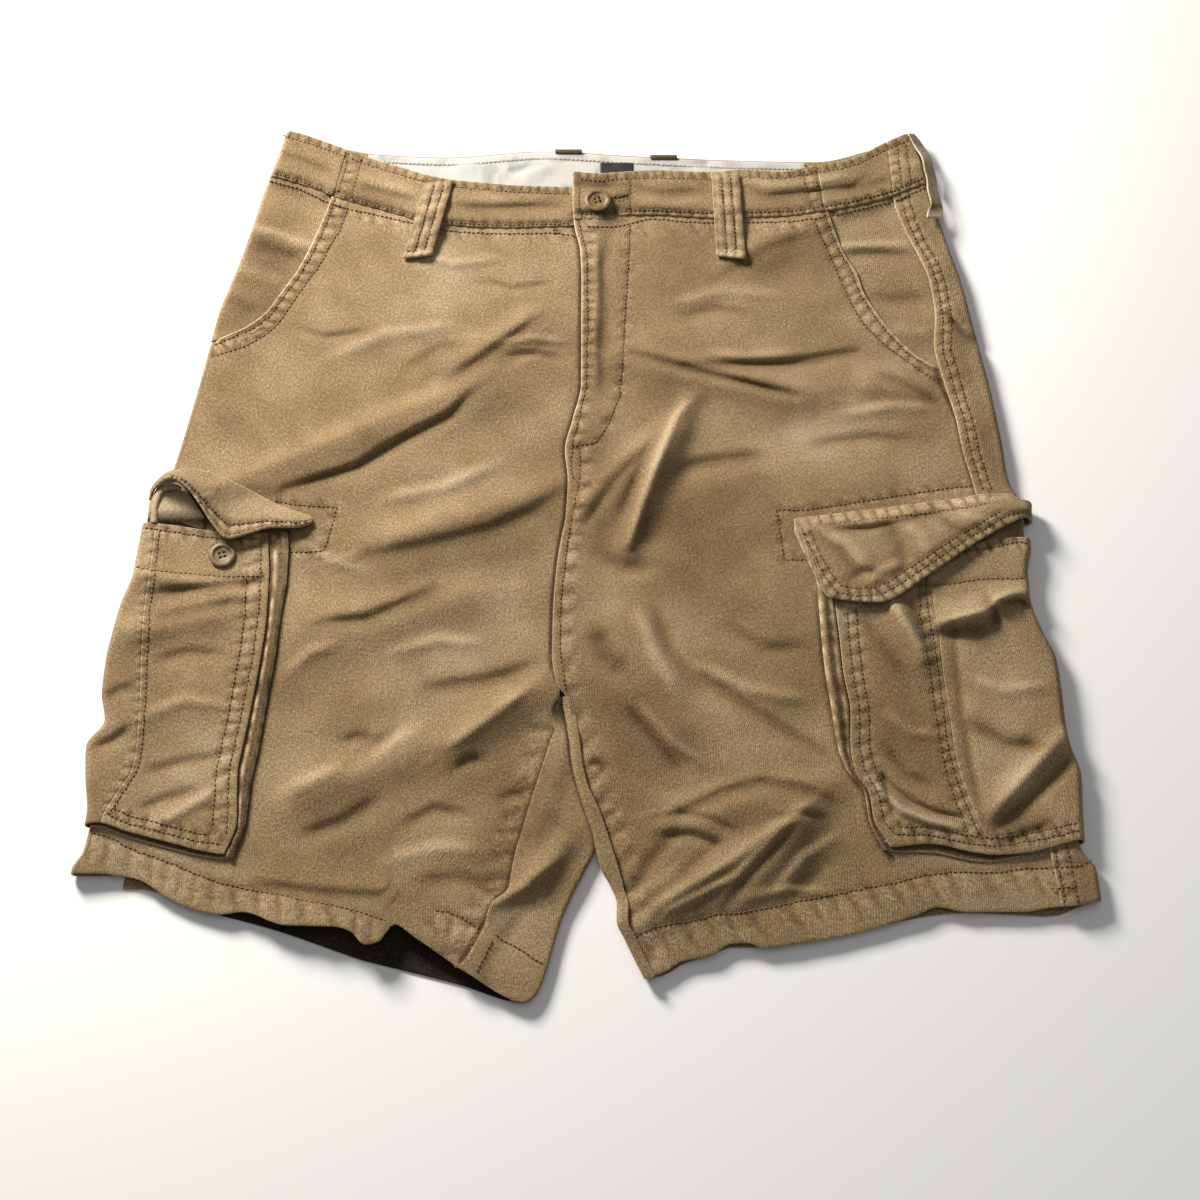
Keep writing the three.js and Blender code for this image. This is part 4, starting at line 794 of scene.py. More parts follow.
band_corner = under_band_right(MOUTH.right(MOUTH_END_RIGHT))
corner = (band_corner - MOUTH_END_RIGHT) / (under_band_right(-249) - HEM.front(-249))
area = patch(right_inner, right_outer, under_band_right, HEM.front)
down_mouth = np.linspace(0, corner, 62)
down_leg = np.linspace(corner, 1, 200)[1:]
sheet = spread(area, np.linspace(0, 1, 126), np.concatenate([down_mouth, down_leg]), front, relief_right)
top = sheet.points[:, -1]
low = top * [1, 1, 0] + [0, 0, REST]
outseam_y = top[:, 1] + ORIGIN[1]
end = rest(OUTSEAM_RIGHT.x(outseam_y) - SEAM, outseam_y)
around = np.concatenate([turn(top, low, -FOLD, 9), straight(low, end, 10)], 1)
around[:61] = np.nan
points = np.concatenate([sheet.points, around], 1)
tail = [(0, 0), (0, around.shape[1])]
sheet.wear_and_painted_shade += 0.7 * bell(sheet.x - MOUTH.right(sheet.y), 1.2) * (sheet.y > MOUTH_END_RIGHT)
sheet.wear_and_painted_shade += crease_wear_and_shade(sheet.x, sheet.y)
right_front = cloth_mesh("twill_front_right", points, CLOTH, np.pad(sheet.wear_and_painted_shade, tail),
                         np.pad(sheet.seam, tail))
right_rows = stitches("stitching_front_right", [
    MOUTH_INNER_RIGHT, MOUTH_STITCH_RIGHT, HEM_STITCH_RIGHT, HEM_STITCH_INNER, PATCH_STITCH_RIGHT,
], lambda x, y: front(x, y) + relief_right(x, y)[0])
lay_out(right_front, ["front_right"])

# Left front panel
# The other front cut. Its fly edge is folded back and stitched, and laps over the right panel down
# to the crotch. At the outseam it runs in under the back panel.
def fly_lap(x, y):
    over = 1 - smooth((x - SECTION.centre(y) - 8) / 26)
    return front(x, y) + LAP * over * smooth((y + 150) / 60)


def left_inner(y):
    lower = INNER.inseam_left(y) + 1 - 3 * smooth((-152 - y) / 30)
    return lerp(lower, SECTION.centre(y), smooth((y - CROTCH + 5) / 10))


def left_outer(y):
    outseam = SECTION.outseam_left(y) + TUCK * smooth((MOUTH_END_LEFT - y) / 10)
    return np.where(y > MOUTH_END_LEFT, MOUTH.left(y), outseam)


FLY_EDGE = [(-9, 260), (-9, 235), (-6, 222), (-3, 208), (-2.5, 182), (-2, 148), (-3, 132), (-3, 105),
            (-6, 90), (-9, 75), (-12, 65), (-13, 45), (-11, 35)]
FLY_STITCH = [(x + 3.2, y) for x, y in FLY_EDGE[1:]]
FLY_CURVE = [(30, 232), (29, 208), (27.5, 182), (26, 157), (25, 135), (22.5, 98), (18, 85), (13, 73),
             (7, 63)]
FLY_FOOT = [(-10, 60), (8, 63)]
CENTRE_STITCH = [(-4, 60), (-4, 35), (-8, 15), (-11, -5), (-15, -40), (-16, -60), (-16, -85), (-12, -112)]
MOUTH_EDGE_LEFT = [(165, 248), (167.5, 238), (173, 218), (182, 198), (188, 178), (197, 160), (207, 145),
                   (217, 132), (235, 118)]
MOUTH_INNER_LEFT = [(x - 2.2, y - 1.2) for x, y in MOUTH_EDGE_LEFT]
MOUTH_STITCH_LEFT = [(157, 235), (164, 215), (172, 192), (180, 168), (188, 152), (202, 135), (237, 106)]
MOUTH_MIDDLE_LEFT = [(161, 242), (165.5, 227), (172, 206), (180, 186), (187, 168), (196, 151), (208, 137),
                     (222, 122), (236, 112)]
HEM_STITCH_LEFT = [(30, -270), (35, -267), (42, -264), (50, -262), (62, -260.5), (70, -258.5), (80, -256),
                   (95, -255), (105, -253), (115, -251), (135, -246.5), (150, -244), (170, -239.5),
                   (190, -236), (205, -232), (222, -229.5), (250, -230), (262, -228), (282, -227)]
PATCH_STITCH_LEFT = [(144, -22), (128, -22), (124, 14), (137, 13), (160, 16), (182, 20), (205, 24),
                     (230, 28), (252, 31)]
OUTSEAM_LEFT = [(235, 118), (237, 104), (242, 92), (246, 80), (249, 57), (253.5, 35), (256, 20)]
INSEAM_LEFT = [(-9, -131), (-7, -145), (-4, -160), (1.5, -175), (8.5, -190), (13.5, -205), (16.5, -215),
               (20.5, -228), (23.5, -242), (25.5, -260), (30.3, -272), (38, -290)]
PUCKERS_LEFT = [
    Pucker(0.18, 0.42, 5, 9, [(4, 232), (2, 208), (2, 148), (1, 110), (-3, 85), (-6, 60)]),
    Pucker(0.14, 0.2, 5, 12, FLY_CURVE),
    Pucker(0.18, 0.42, 6, 9, MOUTH_MIDDLE_LEFT),
    Pucker(0.21, 0.42, 5, 14, [(x + 4, y) for x, y in CENTRE_STITCH]),
    Pucker(0.24, 0.22, 9, 14, hem_line(HEM_STITCH_LEFT, 9)),
    Pucker(0.3, 0.3, 7, 17, [(x + 8, y) for x, y in INSEAM_LEFT]),
    Pucker(0.16, 0.2, 5, 12, PATCH_STITCH_LEFT),
    Pucker(0.12, 0.14, 5, 13, [(32, 224), (60, 227), (92, 226), (140, 229), (160, 232)]),
]
FLANGE_LEFT = [(149, -46), (149.5, -75), (151, -100), (154, -125), (157, -150), (162, -165), (172, -180),
               (174, -197), (180, -212), (186, -222)]


def relief_left(x, y):
    rise, wear_and_painted_shade, seam = puckered(x, y, PUCKERS_LEFT, [
        FLY_STITCH, FLY_CURVE, CENTRE_STITCH, MOUTH_INNER_LEFT, MOUTH_STITCH_LEFT, HEM_STITCH_LEFT,
        PATCH_STITCH_LEFT])
    # Painted shadows darken the cloth along the inseam, beside the flange and along the outseam.
    wear_and_painted_shade += painted_seam_shadow(x, y, INSEAM_LEFT) + painted_seam_shadow(x, y, FLANGE_LEFT, 1.0) + painted_seam_shadow(x, y, OUTSEAM_LEFT, 1.2)
    return rise, wear_and_painted_shade, seam


area = patch(left_inner, left_outer, under_band_left, HEM.front)
sheet = spread(area, np.linspace(0, 1, 132), np.linspace(0, 1, 270), fly_lap, relief_left)
sheet.wear_and_painted_shade += 0.7 * bell(sheet.x - MOUTH.left(sheet.y), 1.2) * (sheet.y > MOUTH_END_LEFT)
sheet.wear_and_painted_shade += 0.6 * bell(sheet.x - SECTION.centre(sheet.y), 1.0) * smooth((sheet.y - 20) / 40)
sheet.wear_and_painted_shade += crease_wear_and_shade(sheet.x, sheet.y)
left_front = cloth_mesh("twill_front_left", sheet.points, CLOTH, sheet.wear_and_painted_shade, sheet.seam)
left_rows = stitches("stitching_front_left", [
    FLY_STITCH, FLY_CURVE, FLY_FOOT, CENTRE_STITCH, MOUTH_INNER_LEFT, MOUTH_STITCH_LEFT, HEM_STITCH_LEFT,
    PATCH_STITCH_LEFT,
], lambda x, y: fly_lap(x, y) + relief_left(x, y)[0])
lay_out(left_front, ["front_left"])

# Pocket facings
# Twill facings that close the hand pockets behind their slanted mouths. The right one goes round
# the side fold to the outseam underneath.
FACING_CREASES_RIGHT = [
    Crease(1.3, 3, 6, [(-232, 229), (-213, 224), (-200, 218), (-188, 214)]),
    Crease(-1.0, 4, 5, [(-226, 214), (-210, 208), (-196, 204)]),
    Crease(0.9, 6, 6, [(-240, 196), (-224, 190), (-206, 184)]),
    Crease(-0.8, 5, 8, [(-246, 172), (-234, 168), (-222, 160)]),
]
FACING_CREASES_LEFT = [
    Crease(1.2, 3, 6, [(172, 213), (200, 215), (224, 215)]),
    Crease(-1.0, 4, 5, [(178, 208), (200, 208), (222, 206)]),
    Crease(-0.9, 5, 6, [(196, 172), (212, 170), (232, 174)]),
    Crease(0.9, 5, 6, [(206, 150), (220, 146), (234, 146)]),
]


def facing_height(x, y):
    """One layer down behind the mouths, and level with them where the band catches the facings."""
    seam = np.where(x < 0, WAIST_RIGHT.seam(x), WAIST_LEFT.seam(x))
    inner = np.minimum(x - MOUTH.left(y), SECTION.outseam_left(y) + 1 - x)
    clear = np.where(x < 0, MOUTH.right(y) - x, inner)
    caught = smooth((y - seam + 14) / 12) * smooth((clear - 1.5) / 7)
    creases = CREASE_SCALE * creased(x, y, FACING_CREASES_RIGHT + FACING_CREASES_LEFT)
    return front(x, y) - LAP * (1 - caught) + creases


area = patch(lambda y: MOUTH.right(y) + MOUTH_FACING, leg_right, under_band_right,
             lambda x: MOUTH_END_RIGHT + 2 + 0 * x)
sheet = spread(area, np.linspace(0, 1, 34), np.linspace(0, 1, 62), facing_height)
# The facings' creases are paler on their ridges, which rub, and darker in their troughs as painted shade.
facing_wear_and_shade_right = 0.4 * creased(sheet.x, sheet.y, FACING_CREASES_RIGHT) + broad_tone(sheet.x, sheet.y)
edge = sheet.points[:, -1]
low = edge * [1, 1, 0] + [0, 0, REST]
down = (edge[0, 1] - edge[:, 1]) / (edge[0, 1] - edge[-1, 1])
seam_y = lerp(WAIST_BACK.seam(-205) - ORIGIN[1] - SEAM, edge[-1, 1], down) + ORIGIN[1]
end = rest(OUTSEAM_RIGHT.x(seam_y) - SEAM, seam_y)
points = np.concatenate([sheet.points, turn(edge, low, -FOLD, 9), straight(low, end, 14)], 1)
facing_wear_and_shade_right = np.pad(facing_wear_and_shade_right, [(0, 0), (0, points.shape[1] - facing_wear_and_shade_right.shape[1])])
facing_right = cloth_mesh("twill_facing_right", points, CLOTH, facing_wear_and_shade_right)
lay_out(facing_right, ["pocket_facing_right"])

area = patch(lambda y: MOUTH.left(y) - MOUTH_FACING, lambda y: SECTION.outseam_left(y) + TUCK,
             under_band_left, lambda x: MOUTH_END_LEFT - 4 + 0 * x)
sheet = spread(area, np.linspace(0, 1, 34), np.linspace(0, 1, 66), facing_height)
facing_wear_and_shade_left = 0.4 * creased(sheet.x, sheet.y, FACING_CREASES_LEFT)
facing_left = cloth_mesh("twill_facing_left", sheet.points, CLOTH, facing_wear_and_shade_left)
lay_out(facing_left, ["pocket_facing_left"])

# Back panels
# The seat and the backs of the legs lie flat on the table. Each comes round the inside of its leg
# to the inseam on top, and the left one comes round the side fold to its outseam as well.
def below_seam(x, y):
    """How far a place has come out from under the band, from 0 at the band to 1 below it."""
    return smooth((WAIST_LEFT.seam(x) - 8 - y) / 10)


def lapped(seam):
    """Height of a layer that laps over the front near a seam and sinks level with it further off."""
    def height(x, y):
        off = np.abs(x - seam(y))
        return front(x, y) + LAP * (1 - smooth((off - 8) / 14)) * below_seam(x, y)
    return height


def wrapped(seam):
    """Height of a back's return, which comes up from under the front below the crotch."""
    def height(x, y):
        return lerp(front(x, y) - 0.6, lapped(seam)(x, y), smooth((CROTCH_BACK - y) / 30))
    return height


OUTSEAM_EDGE = [(213, 258), (217, 235), (223, 217), (231, 200), (235, 182), (237, 157), (235, 132),
                (238, 120), (242, 98), (246, 80), (249, 55), (255, 28)]
OUTSEAM_HEM = [(281, -212), (285, -250)]
BACK_STITCHES = [
    [(x + 4.5, y) for x, y in OUTSEAM_EDGE], [(x + 10, y) for x, y in OUTSEAM_EDGE],
    [(x + 5, y) for x, y in OUTSEAM_HEM], [(x + 13, y) for x, y in OUTSEAM_HEM],
    [(282, -227), (300, -226), (309, -222)], [(282, -240), (297, -239)],
]
PUCKERS_BACK = [
    Pucker(0.18, 0.42, 5, 8, [(x + 7, y) for x, y in OUTSEAM_EDGE]),
    Pucker(0.18, 0.42, 6, 9, [(x + 9, y) for x, y in OUTSEAM_HEM]),
]


def relief_back(x, y):
    return puckered(x, y, PUCKERS_BACK, BACK_STITCHES)


INSIDE_STITCHES = [[(-53, -268), (-50, -271), (-40, -276), (-30, -283), (-25, -286)],
                   [(-55, -272), (-64, -291)]]


def back_top(x):
    """The back panels' upper edge, just short of the band."""
    return WAIST_BACK.seam(x) - 1.3


def right_back_inner(y):
    return np.where(y > CROTCH_BACK, CENTRE_BACK.x(y) - SEAM, INNER.fold_right(y) - FOLD - 1)


area = patch(lambda y: OUTSEAM_RIGHT.x(y) + SEAM, right_back_inner, back_top, HEM.back)
v, u = np.meshgrid(np.concatenate([np.linspace(0, 0.66, 60), np.linspace(0.66, 1, 96)[1:]]),
                   np.linspace(0, 1, 48), indexing="ij")
x, y = area(u, v)
flat = rest(x, y)
low, low_y = flat[:, -1], y[:, -1:]
over = np.linspace(0, 1, 24)[None]
x_over = lerp(INNER.fold_right(low_y) - FOLD,
              np.minimum(INNER.inseam_right(low_y), INNER.fold_right(low_y) - FOLD - 4), over)
seen = lerp(low_y, HEM.front(x_over), smooth((v[:, :1] - 0.9) / 0.1))
inside_height = wrapped(INNER.inseam_right)
top = place(x_over, seen, inside_height(x_over, seen))
around = np.concatenate([turn(low, top[:, 0], FOLD, 9), top], 1)
around[low_y[:, 0] > CROTCH_BACK] = np.nan
points = np.concatenate([flat, around], 1)
# Painted shade: the back's inside shows near black through the right leg's opening, and its return darkens
# into the pit at the crotch.
painted_opening_shade = -1.7 * smooth((-236 - y) / 20) * smooth((x + 240) / 20)
painted_pit_shade = np.repeat(-1.5 * smooth((low_y + 142) / 20), around.shape[1], axis=1)
wear_and_painted_shade = np.concatenate([painted_opening_shade, painted_pit_shade], 1)
right_back = cloth_mesh("twill_back_right", points, CLOTH, wear_and_painted_shade, rim=0.1)
inside_rows = stitches("stitching_inside_right", INSIDE_STITCHES, inside_height)
lay_out(right_back, ["back_right"])


def left_back_inner(y):
    return np.where(y > CROTCH_BACK, CENTRE_BACK.x(y) + SEAM, INNER.fold_left(y) + FOLD + 0.5)


along = np.linspace(0, 1, 250)
area = patch(left_back_inner, lambda y: leg_left(y) - 1.4, back_top, HEM.back)
v, u = np.meshgrid(along, np.linspace(0, 1, 40), indexing="ij")
x, y = area(u, v)
flat = rest(x, y)
inner_y = y[:, :1]
reach = np.linspace(0, 1, 8)[None]
x_in = lerp(INNER.fold_left(inner_y) + FOLD,
            np.maximum(INNER.inseam_left(inner_y), INNER.fold_left(inner_y) + FOLD + 3), reach)
sliver = place(x_in, inner_y, wrapped(INNER.inseam_left)(x_in, inner_y))[:, ::-1]
inside = np.concatenate([sliver, turn(sliver[:, -1], flat[:, 0], -FOLD, 7)], 1)
inside[inner_y[:, 0] > CROTCH_BACK] = np.nan
area = patch(leg_left, SECTION.outseam_left, under_band_left, HEM.front)
side = spread(area, np.linspace(0, 1, 20), along, lapped(SECTION.outseam_left), relief_back)
side.wear_and_painted_shade += crease_wear_and_shade(side.x, side.y) + 0.35 * bell(side.x - SECTION.outseam_left(side.y), 1.0)
points = np.concatenate([inside, flat, turn(flat[:, -1], side.points[:, 0], FOLD, 9), side.points], 1)
head = [(0, 0), (points.shape[1] - side.wear_and_painted_shade.shape[1], 0)]
left_back = cloth_mesh("twill_back_left", points, CLOTH, np.pad(side.wear_and_painted_shade, head), np.pad(side.seam, head))
back_rows = stitches("stitching_back_left", BACK_STITCHES,
                     lambda x, y: lapped(SECTION.outseam_left)(x, y) + relief_back(x, y)[0])
lay_out(left_back, ["back_left"])

# Waistband
# Two layers of twill over interlining, 38 mm deep and edge-stitched. It is cut in five: the two
# front ends button over each other, short pieces join them at the sides, and the back comes round
# the left side.
BAND = 2.0  # wall of the band
FLY_X = -9  # where its two front ends meet, at the fly
BAND_SEAM_RIGHT = table("y x", (292, -168.5), (256, -175.5))
BAND_SEAM_LEFT = table("y x", (280, 161.5), (242, 165.5))
BAND_ALONG = np.linspace(0, 1, 24)
BUTTONHOLE = [(15, 251.5), (21, 252.5), (31, 254.5)]
BAND_CREASES = [
    Crease(-1.2, 3, 5, [(-216, 290), (-196, 282), (-176, 272)]),
    Crease(1.0, 4, 5, [(-160, 272), (-140, 262), (-118, 256)]),
    Crease(-0.9, 3, 4, [(-158, 262), (-136, 256), (-120, 250)]),
    Crease(-1.0, 3, 4, [(-92, 246), (-70, 244), (-45, 245), (-14, 246)]),
    Crease(0.9, 4, 4, [(-88, 252), (-60, 251), (-30, 252)]),
    Crease(-1.4, 4, 4, [(-9, 264), (4, 262), (22, 262)]),
    Crease(-1.6, 3, 5, [(-8, 240), (10, 241), (26, 246)]),
    Crease(-1.0, 3, 5, [(32, 262), (50, 256), (78, 258)]),
    Crease(0.9, 4, 5, [(36, 252), (60, 248), (84, 250)]),
    Crease(-1.4, 2.5, 5, [(110, 262), (125, 254), (160, 258), (185, 262), (196, 270)]),
    Crease(1.4, 4, 4, [(112, 268), (130, 262), (160, 266), (184, 272)]),
    Crease(-1.0, 3, 5, [(176, 258), (196, 262), (212, 268)]),
    Crease(0.9, 3, 4, [(216, 286), (226, 280), (236, 282)]),
]
BAND_STITCHES_RIGHT = [
    [(-214, 305.5), (-205, 302), (-190, 296.5), (-170, 288), (-150, 279.5), (-130, 272.5), (-111, 266),
     (-93, 262.5), (-75, 260.5), (-50, 258), (-25, 257), (-11, 256.5)],
    [(-218, 274), (-200, 267.5), (-177, 257.5), (-163, 252.5), (-147, 247.5), (-130, 242), (-117, 237.5),
     (-98, 234), (-80, 232), (-53, 231), (-23, 232), (-10, 232.5)],
    [(-157.5, 286), (-161, 268), (-164, 252)], [(-166.5, 291), (-170, 272), (-173, 257)],
]
BAR_TACK = [[(-23 + k, 232), (-22.4 + k, 224)] for k in (0, 0.9, 1.8)]
LOWER_STITCHES_RIGHT = [
    (-221, 267.5), (-200, 261), (-180, 250), (-163, 244), (-143, 239), (-118, 232), (-98, 227), (-80, 225),
    (-53, 224), (-23, 225), (-9, 223)]
BAND_STITCHES_LEFT = [
    [(-5, 268.5), (8, 267.5), (30, 269), (50, 270), (70, 269), (90, 268.5), (107, 270.5), (137, 269),
     (160, 274), (177, 277), (192, 282), (208, 292), (224, 300), (231, 303)],
    [(-5, 262), (-5, 242)],
    [(-5, 240.5), (20, 241), (30, 243), (42, 243.5), (67, 242), (90, 241), (117, 242), (142, 242.5),
     (165, 246.5), (183, 250), (213, 259), (225, 265), (236, 270)],
    [(151, 276), (155, 246)], [(159, 277), (163, 247)], [(218, 295), (219, 262)], [(224, 298), (226, 265)],
    [(30, 268), (30, 244)], [(x, y + 1.7) for x, y in BUTTONHOLE], [(x, y - 1.7) for x, y in BUTTONHOLE],
]
LOWER_STITCHES_LEFT = [
    (0, 230), (22, 230), (42, 236), (55, 236), (67, 234), (92, 233), (142, 234), (167, 238), (215, 251),
    (236, 262)]
BAND_PUCKERS = [
    Pucker(0.15, 0.42, 4, 7, [(-214, 307), (-190, 299), (-150, 282), (-111, 268.5), (-75, 263),
                              (-11, 259)]),
    Pucker(0.15, 0.42, 4, 7, [(-5, 271), (30, 271.5), (90, 271), (137, 271.5), (177, 279.5), (208, 294),
                              (238, 308)]),
    Pucker(0.18, 0.42, 5, 8, [(-218, 270.5), (-177, 254), (-117, 235), (-53, 229), (-10, 230)]),
    Pucker(0.18, 0.42, 5, 8, [(-5, 236), (30, 239), (90, 237), (142, 238), (183, 246), (236, 266)]),
    Pucker(0.15, 0.42, 4, 8, [(-162, 289), (-169, 254)]),
    Pucker(0.15, 0.42, 4, 8, [(155, 277), (159, 246)]),
    Pucker(0.15, 0.42, 4, 8, [(215, 296), (216, 260)]),
]


def relief_band(x, y):
    rise, wear_and_painted_shade, seam = puckered(x, y, BAND_PUCKERS, BAND_STITCHES_RIGHT + BAND_STITCHES_LEFT)
    creases = creased(x, y, BAND_CREASES)
    slot, run, length = beside(x, y, BUTTONHOLE)
    cut = bell(slot, 1.3) * smooth((run - 1) / 1.5) * smooth((length - run) / 1.5)
    # The buttonhole's slit is darkened as painted shade, and the band's creases are paler on ridges, which
    # rub, and darker in troughs as painted shade.
    return rise + 1.1 * creases - 0.6 * cut, wear_and_painted_shade + 0.3 * creases - 0.2 - 1.3 * cut, seam


def band_rise(x, y):
    """The band's stand over the panels: full at its top and pulled down to them at its seam."""
    seam = np.where(x < FLY_X, WAIST_RIGHT.seam(x), WAIST_LEFT.seam(x))
    return lerp(1.0, LAP + 0.4, smooth((y - seam) / 6))


def band_height(x, y):
    return front(x, y) + band_rise(x, y)


def band_lap(x, y):
    return fly_lap(x, y) + band_rise(x, y)


def band_relieved(x, y):
    return band_height(x, y) + relief_band(x, y)[0]


area = patch(lambda y: SECTION.centre(y) - SEAM, lambda y: BAND_SEAM_RIGHT.x(y) + 1.4, WAIST_RIGHT.top,
             WAIST_RIGHT.seam)
sheet = spread(area, np.linspace(0, 1, 84), BAND_ALONG, band_height, relief_band)
band_front_right = cloth_mesh("twill_band_front_right", sheet.points, BAND, sheet.wear_and_painted_shade, sheet.seam)
band_rows_right = stitches("stitching_band_right", BAND_STITCHES_RIGHT, band_relieved, BAND / 2)


def below_band(x, y):
    """The face that shows just under the band: the panels, and the facings past the pocket mouths."""
    on_facing = (x < MOUTH.right(y)) | (x > MOUTH.left(y)) & (x < SECTION.outseam_left(y))
    panel = np.where(x < FLY_X, front(x, y) + relief_right(x, y)[0], fly_lap(x, y) + relief_left(x, y)[0])
    back_return = front(x, y) + LAP * below_seam(x, y)
    panel = np.where(x > SECTION.outseam_left(y), back_return, panel)
    return np.where(on_facing, facing_height(x, y), panel)


lower_rows_right = stitches("stitching_below_band_right", [LOWER_STITCHES_RIGHT] + BAR_TACK, below_band)
lay_out(band_front_right, ["waistband_front_right"])

area = patch(lambda y: BAND_SEAM_RIGHT.x(y) - 0.4, lambda y: SECTION.fold_right(y) + FOLD, WAIST_RIGHT.top,
             WAIST_RIGHT.seam)
sheet = spread(area, np.linspace(0, 1, 24), BAND_ALONG, band_height, relief_band)
edge = sheet.points[:, -1]
low = edge * [1, 1, 0] + [0, 0, BAND / 2]
seam_y = lerp(WAIST_BACK.top(-205), WAIST_BACK.seam(-205), BAND_ALONG)
end = rest(OUTSEAM_RIGHT.x(seam_y) - SEAM, seam_y, BAND / 2)
around = np.concatenate([turn(edge, low, -FOLD, 9), straight(low, end, 8)], 1)
tail = [(0, 0), (0, around.shape[1])]
band_side_right = cloth_mesh("twill_band_side_right", np.concatenate([sheet.points, around], 1), BAND,
                             np.pad(sheet.wear_and_painted_shade, tail), np.pad(sheet.seam, tail))
lay_out(band_side_right, ["waistband_side_right"])

area = patch(lambda y: SECTION.centre(y) + SEAM, lambda y: BAND_SEAM_LEFT.x(y) - 1.2, WAIST_LEFT.top,
             WAIST_LEFT.seam)
sheet = spread(area, np.linspace(0, 1, 88), BAND_ALONG, band_lap, relief_band)
band_front_left = cloth_mesh("twill_band_front_left", sheet.points, BAND, sheet.wear_and_painted_shade, sheet.seam)


def left_band_height(x, y):
    lap = 1 - smooth((x - 150) / 6)
    return lerp(band_height(x, y), band_lap(x, y), lap) + relief_band(x, y)[0]


band_rows_left = stitches("stitching_band_left", BAND_STITCHES_LEFT, left_band_height, BAND / 2)
lower_rows_left = stitches("stitching_below_band_left", [LOWER_STITCHES_LEFT], below_band)
lay_out(band_front_left, ["waistband_front_left"])

area = patch(lambda y: BAND_SEAM_LEFT.x(y) + 0.4, lambda y: SECTION.outseam_left(y) - 1.2, WAIST_LEFT.top,
             WAIST_LEFT.seam)
sheet = spread(area, np.linspace(0, 1, 26), BAND_ALONG, band_height, relief_band)
band_side_left = cloth_mesh("twill_band_side_left", sheet.points, BAND, sheet.wear_and_painted_shade, sheet.seam)
lay_out(band_side_left, ["waistband_side_left"])

area = patch(lambda y: SECTION.outseam_left(y) + 0.4, lambda y: SECTION.fold_left(y) - FOLD,
             WAIST_LEFT.top, WAIST_LEFT.seam)
side = spread(area, np.linspace(0, 1, 14), BAND_ALONG, band_height, relief_band)
under = patch(lambda y: SECTION.fold_left(y) - FOLD - 2, lambda y: OUTSEAM_RIGHT.x(y) + SEAM + 1,
              WAIST_BACK.top, WAIST_BACK.seam)
v, u = np.meshgrid(BAND_ALONG, np.linspace(0, 1, 110), indexing="ij")
flat = rest(*under(u, v), BAND / 2)
points = np.concatenate([side.points, turn(side.points[:, -1], flat[:, 0], FOLD, 9), flat], 1)
tail = [(0, 0), (0, points.shape[1] - side.wear_and_painted_shade.shape[1])]
band_back = cloth_mesh("twill_band_back", points, BAND, np.pad(side.wear_and_painted_shade, tail), np.pad(side.seam, tail))
lay_out(band_back, ["waistband_back"])

# White facing and woven tab
# A strip of bleached cotton lines the back of the band, overlocked along its top edge. A plain
# dark satin tab is sewn on it.
FACING_WALL = 1.0
FACING_REST = BAND + 0.3 + FACING_WALL / 2


def bleached_cotton():
    """Plain weave, drawn at 1 mm, white, with grey painted shade in the dents of its crumple."""
    material, tree, output = new_material("bleached_cotton")
    chart = add_node(tree, "ShaderNodeUVMap", uv_map="UVMap").outputs["UV"]
    cross = add_node(tree, "ShaderNodeTexNoise", {"Vector": chart, "Scale": 900, "Detail": 2})
    dent = add_node(tree, "ShaderNodeTexNoise", {
        "Vector": chart, "Scale": 45, "Detail": 3, "Distortion": 0.8})
    # The grey follows the dents of the bump, as painted shade.
    tint = add_node(tree, "ShaderNodeValToRGB", {"Fac": dent.outputs["Fac"]})
    tint.color_ramp.elements[0].position, tint.color_ramp.elements[0].color = 0.3, linear("#8A877F")
    tint.color_ramp.elements[1].position, tint.color_ramp.elements[1].color = 0.55, linear("#B4B1AA")
    fold = add_node(tree, "ShaderNodeBump", {
        "Strength": 0.5, "Distance": 0.0012, "Height": dent.outputs["Fac"]})
    weave = add_node(tree, "ShaderNodeBump", {
        "Strength": 0.3, "Distance": 0.0002, "Height": cross.outputs["Fac"],
        "Normal": fold.outputs["Normal"]})
    cotton = add_node(tree, "ShaderNodeBsdfPrincipled", {
        "Base Color": tint.outputs["Color"], "Roughness": 0.88, "Sheen Weight": 0.1,
        "Normal": weave.outputs["Normal"]})
    tree.links.new(cotton.outputs["BSDF"], output.inputs["Surface"])
    return material


def thread_of(name, code):
    """Spun thread of another colour."""
    material, tree, output = new_material(name)
    fibre = add_node(tree, "ShaderNodeBsdfPrincipled", {"Base Color": linear(code), "Roughness": 0.6})
    tree.links.new(fibre.outputs["BSDF"], output.inputs["Surface"])
    return material


WHITE_CREASES = [
    Crease(0.8, 4, 6, [(-90, 275), (-82, 277), (-76, 276)]),
    Crease(0.9, 6, 6, [(-46, 262), (-34, 272), (-22, 280)]),
    Crease(0.6, 5, 5, [(70, 270), (90, 276), (120, 274)]),
]


def facing_face(x, y):
    return FACING_REST + creased(x, y, WHITE_CREASES)


v, u = np.meshgrid(np.linspace(0, 1, 20), np.linspace(0, 1, 130), indexing="ij")
x = lerp(-152, 152, u)
y = lerp(WAIST_BACK.top(x) - 1.5, WAIST_BACK.seam(x) + 2, v)
white_facing = cloth_mesh("cotton_facing", rest(x, y, facing_face(x, y)), FACING_WALL, rim=0)
OVERLOCK = SimpleNamespace(pitch=3.0, length=2.6, radius=0.35, sides=5)
ZIGZAG = ((0, 3.2), (1.5, 5.6), (3, 3.2))  # steps along the edge, and how far below it
overlock = []
for start in np.arange(-150, 150, 3.0):
    first, low, last = [(start + step, WAIST_BACK.top(start + step) - deep) for step, deep in ZIGZAG]
    overlock += [[first, low], [low, last]]
cream_thread = thread_of("polyester_thread_cream", "#8C877B")
overlock_rows = stitches("overlock_facing", overlock, facing_face, FACING_WALL / 2, cream_thread,
                         OVERLOCK)
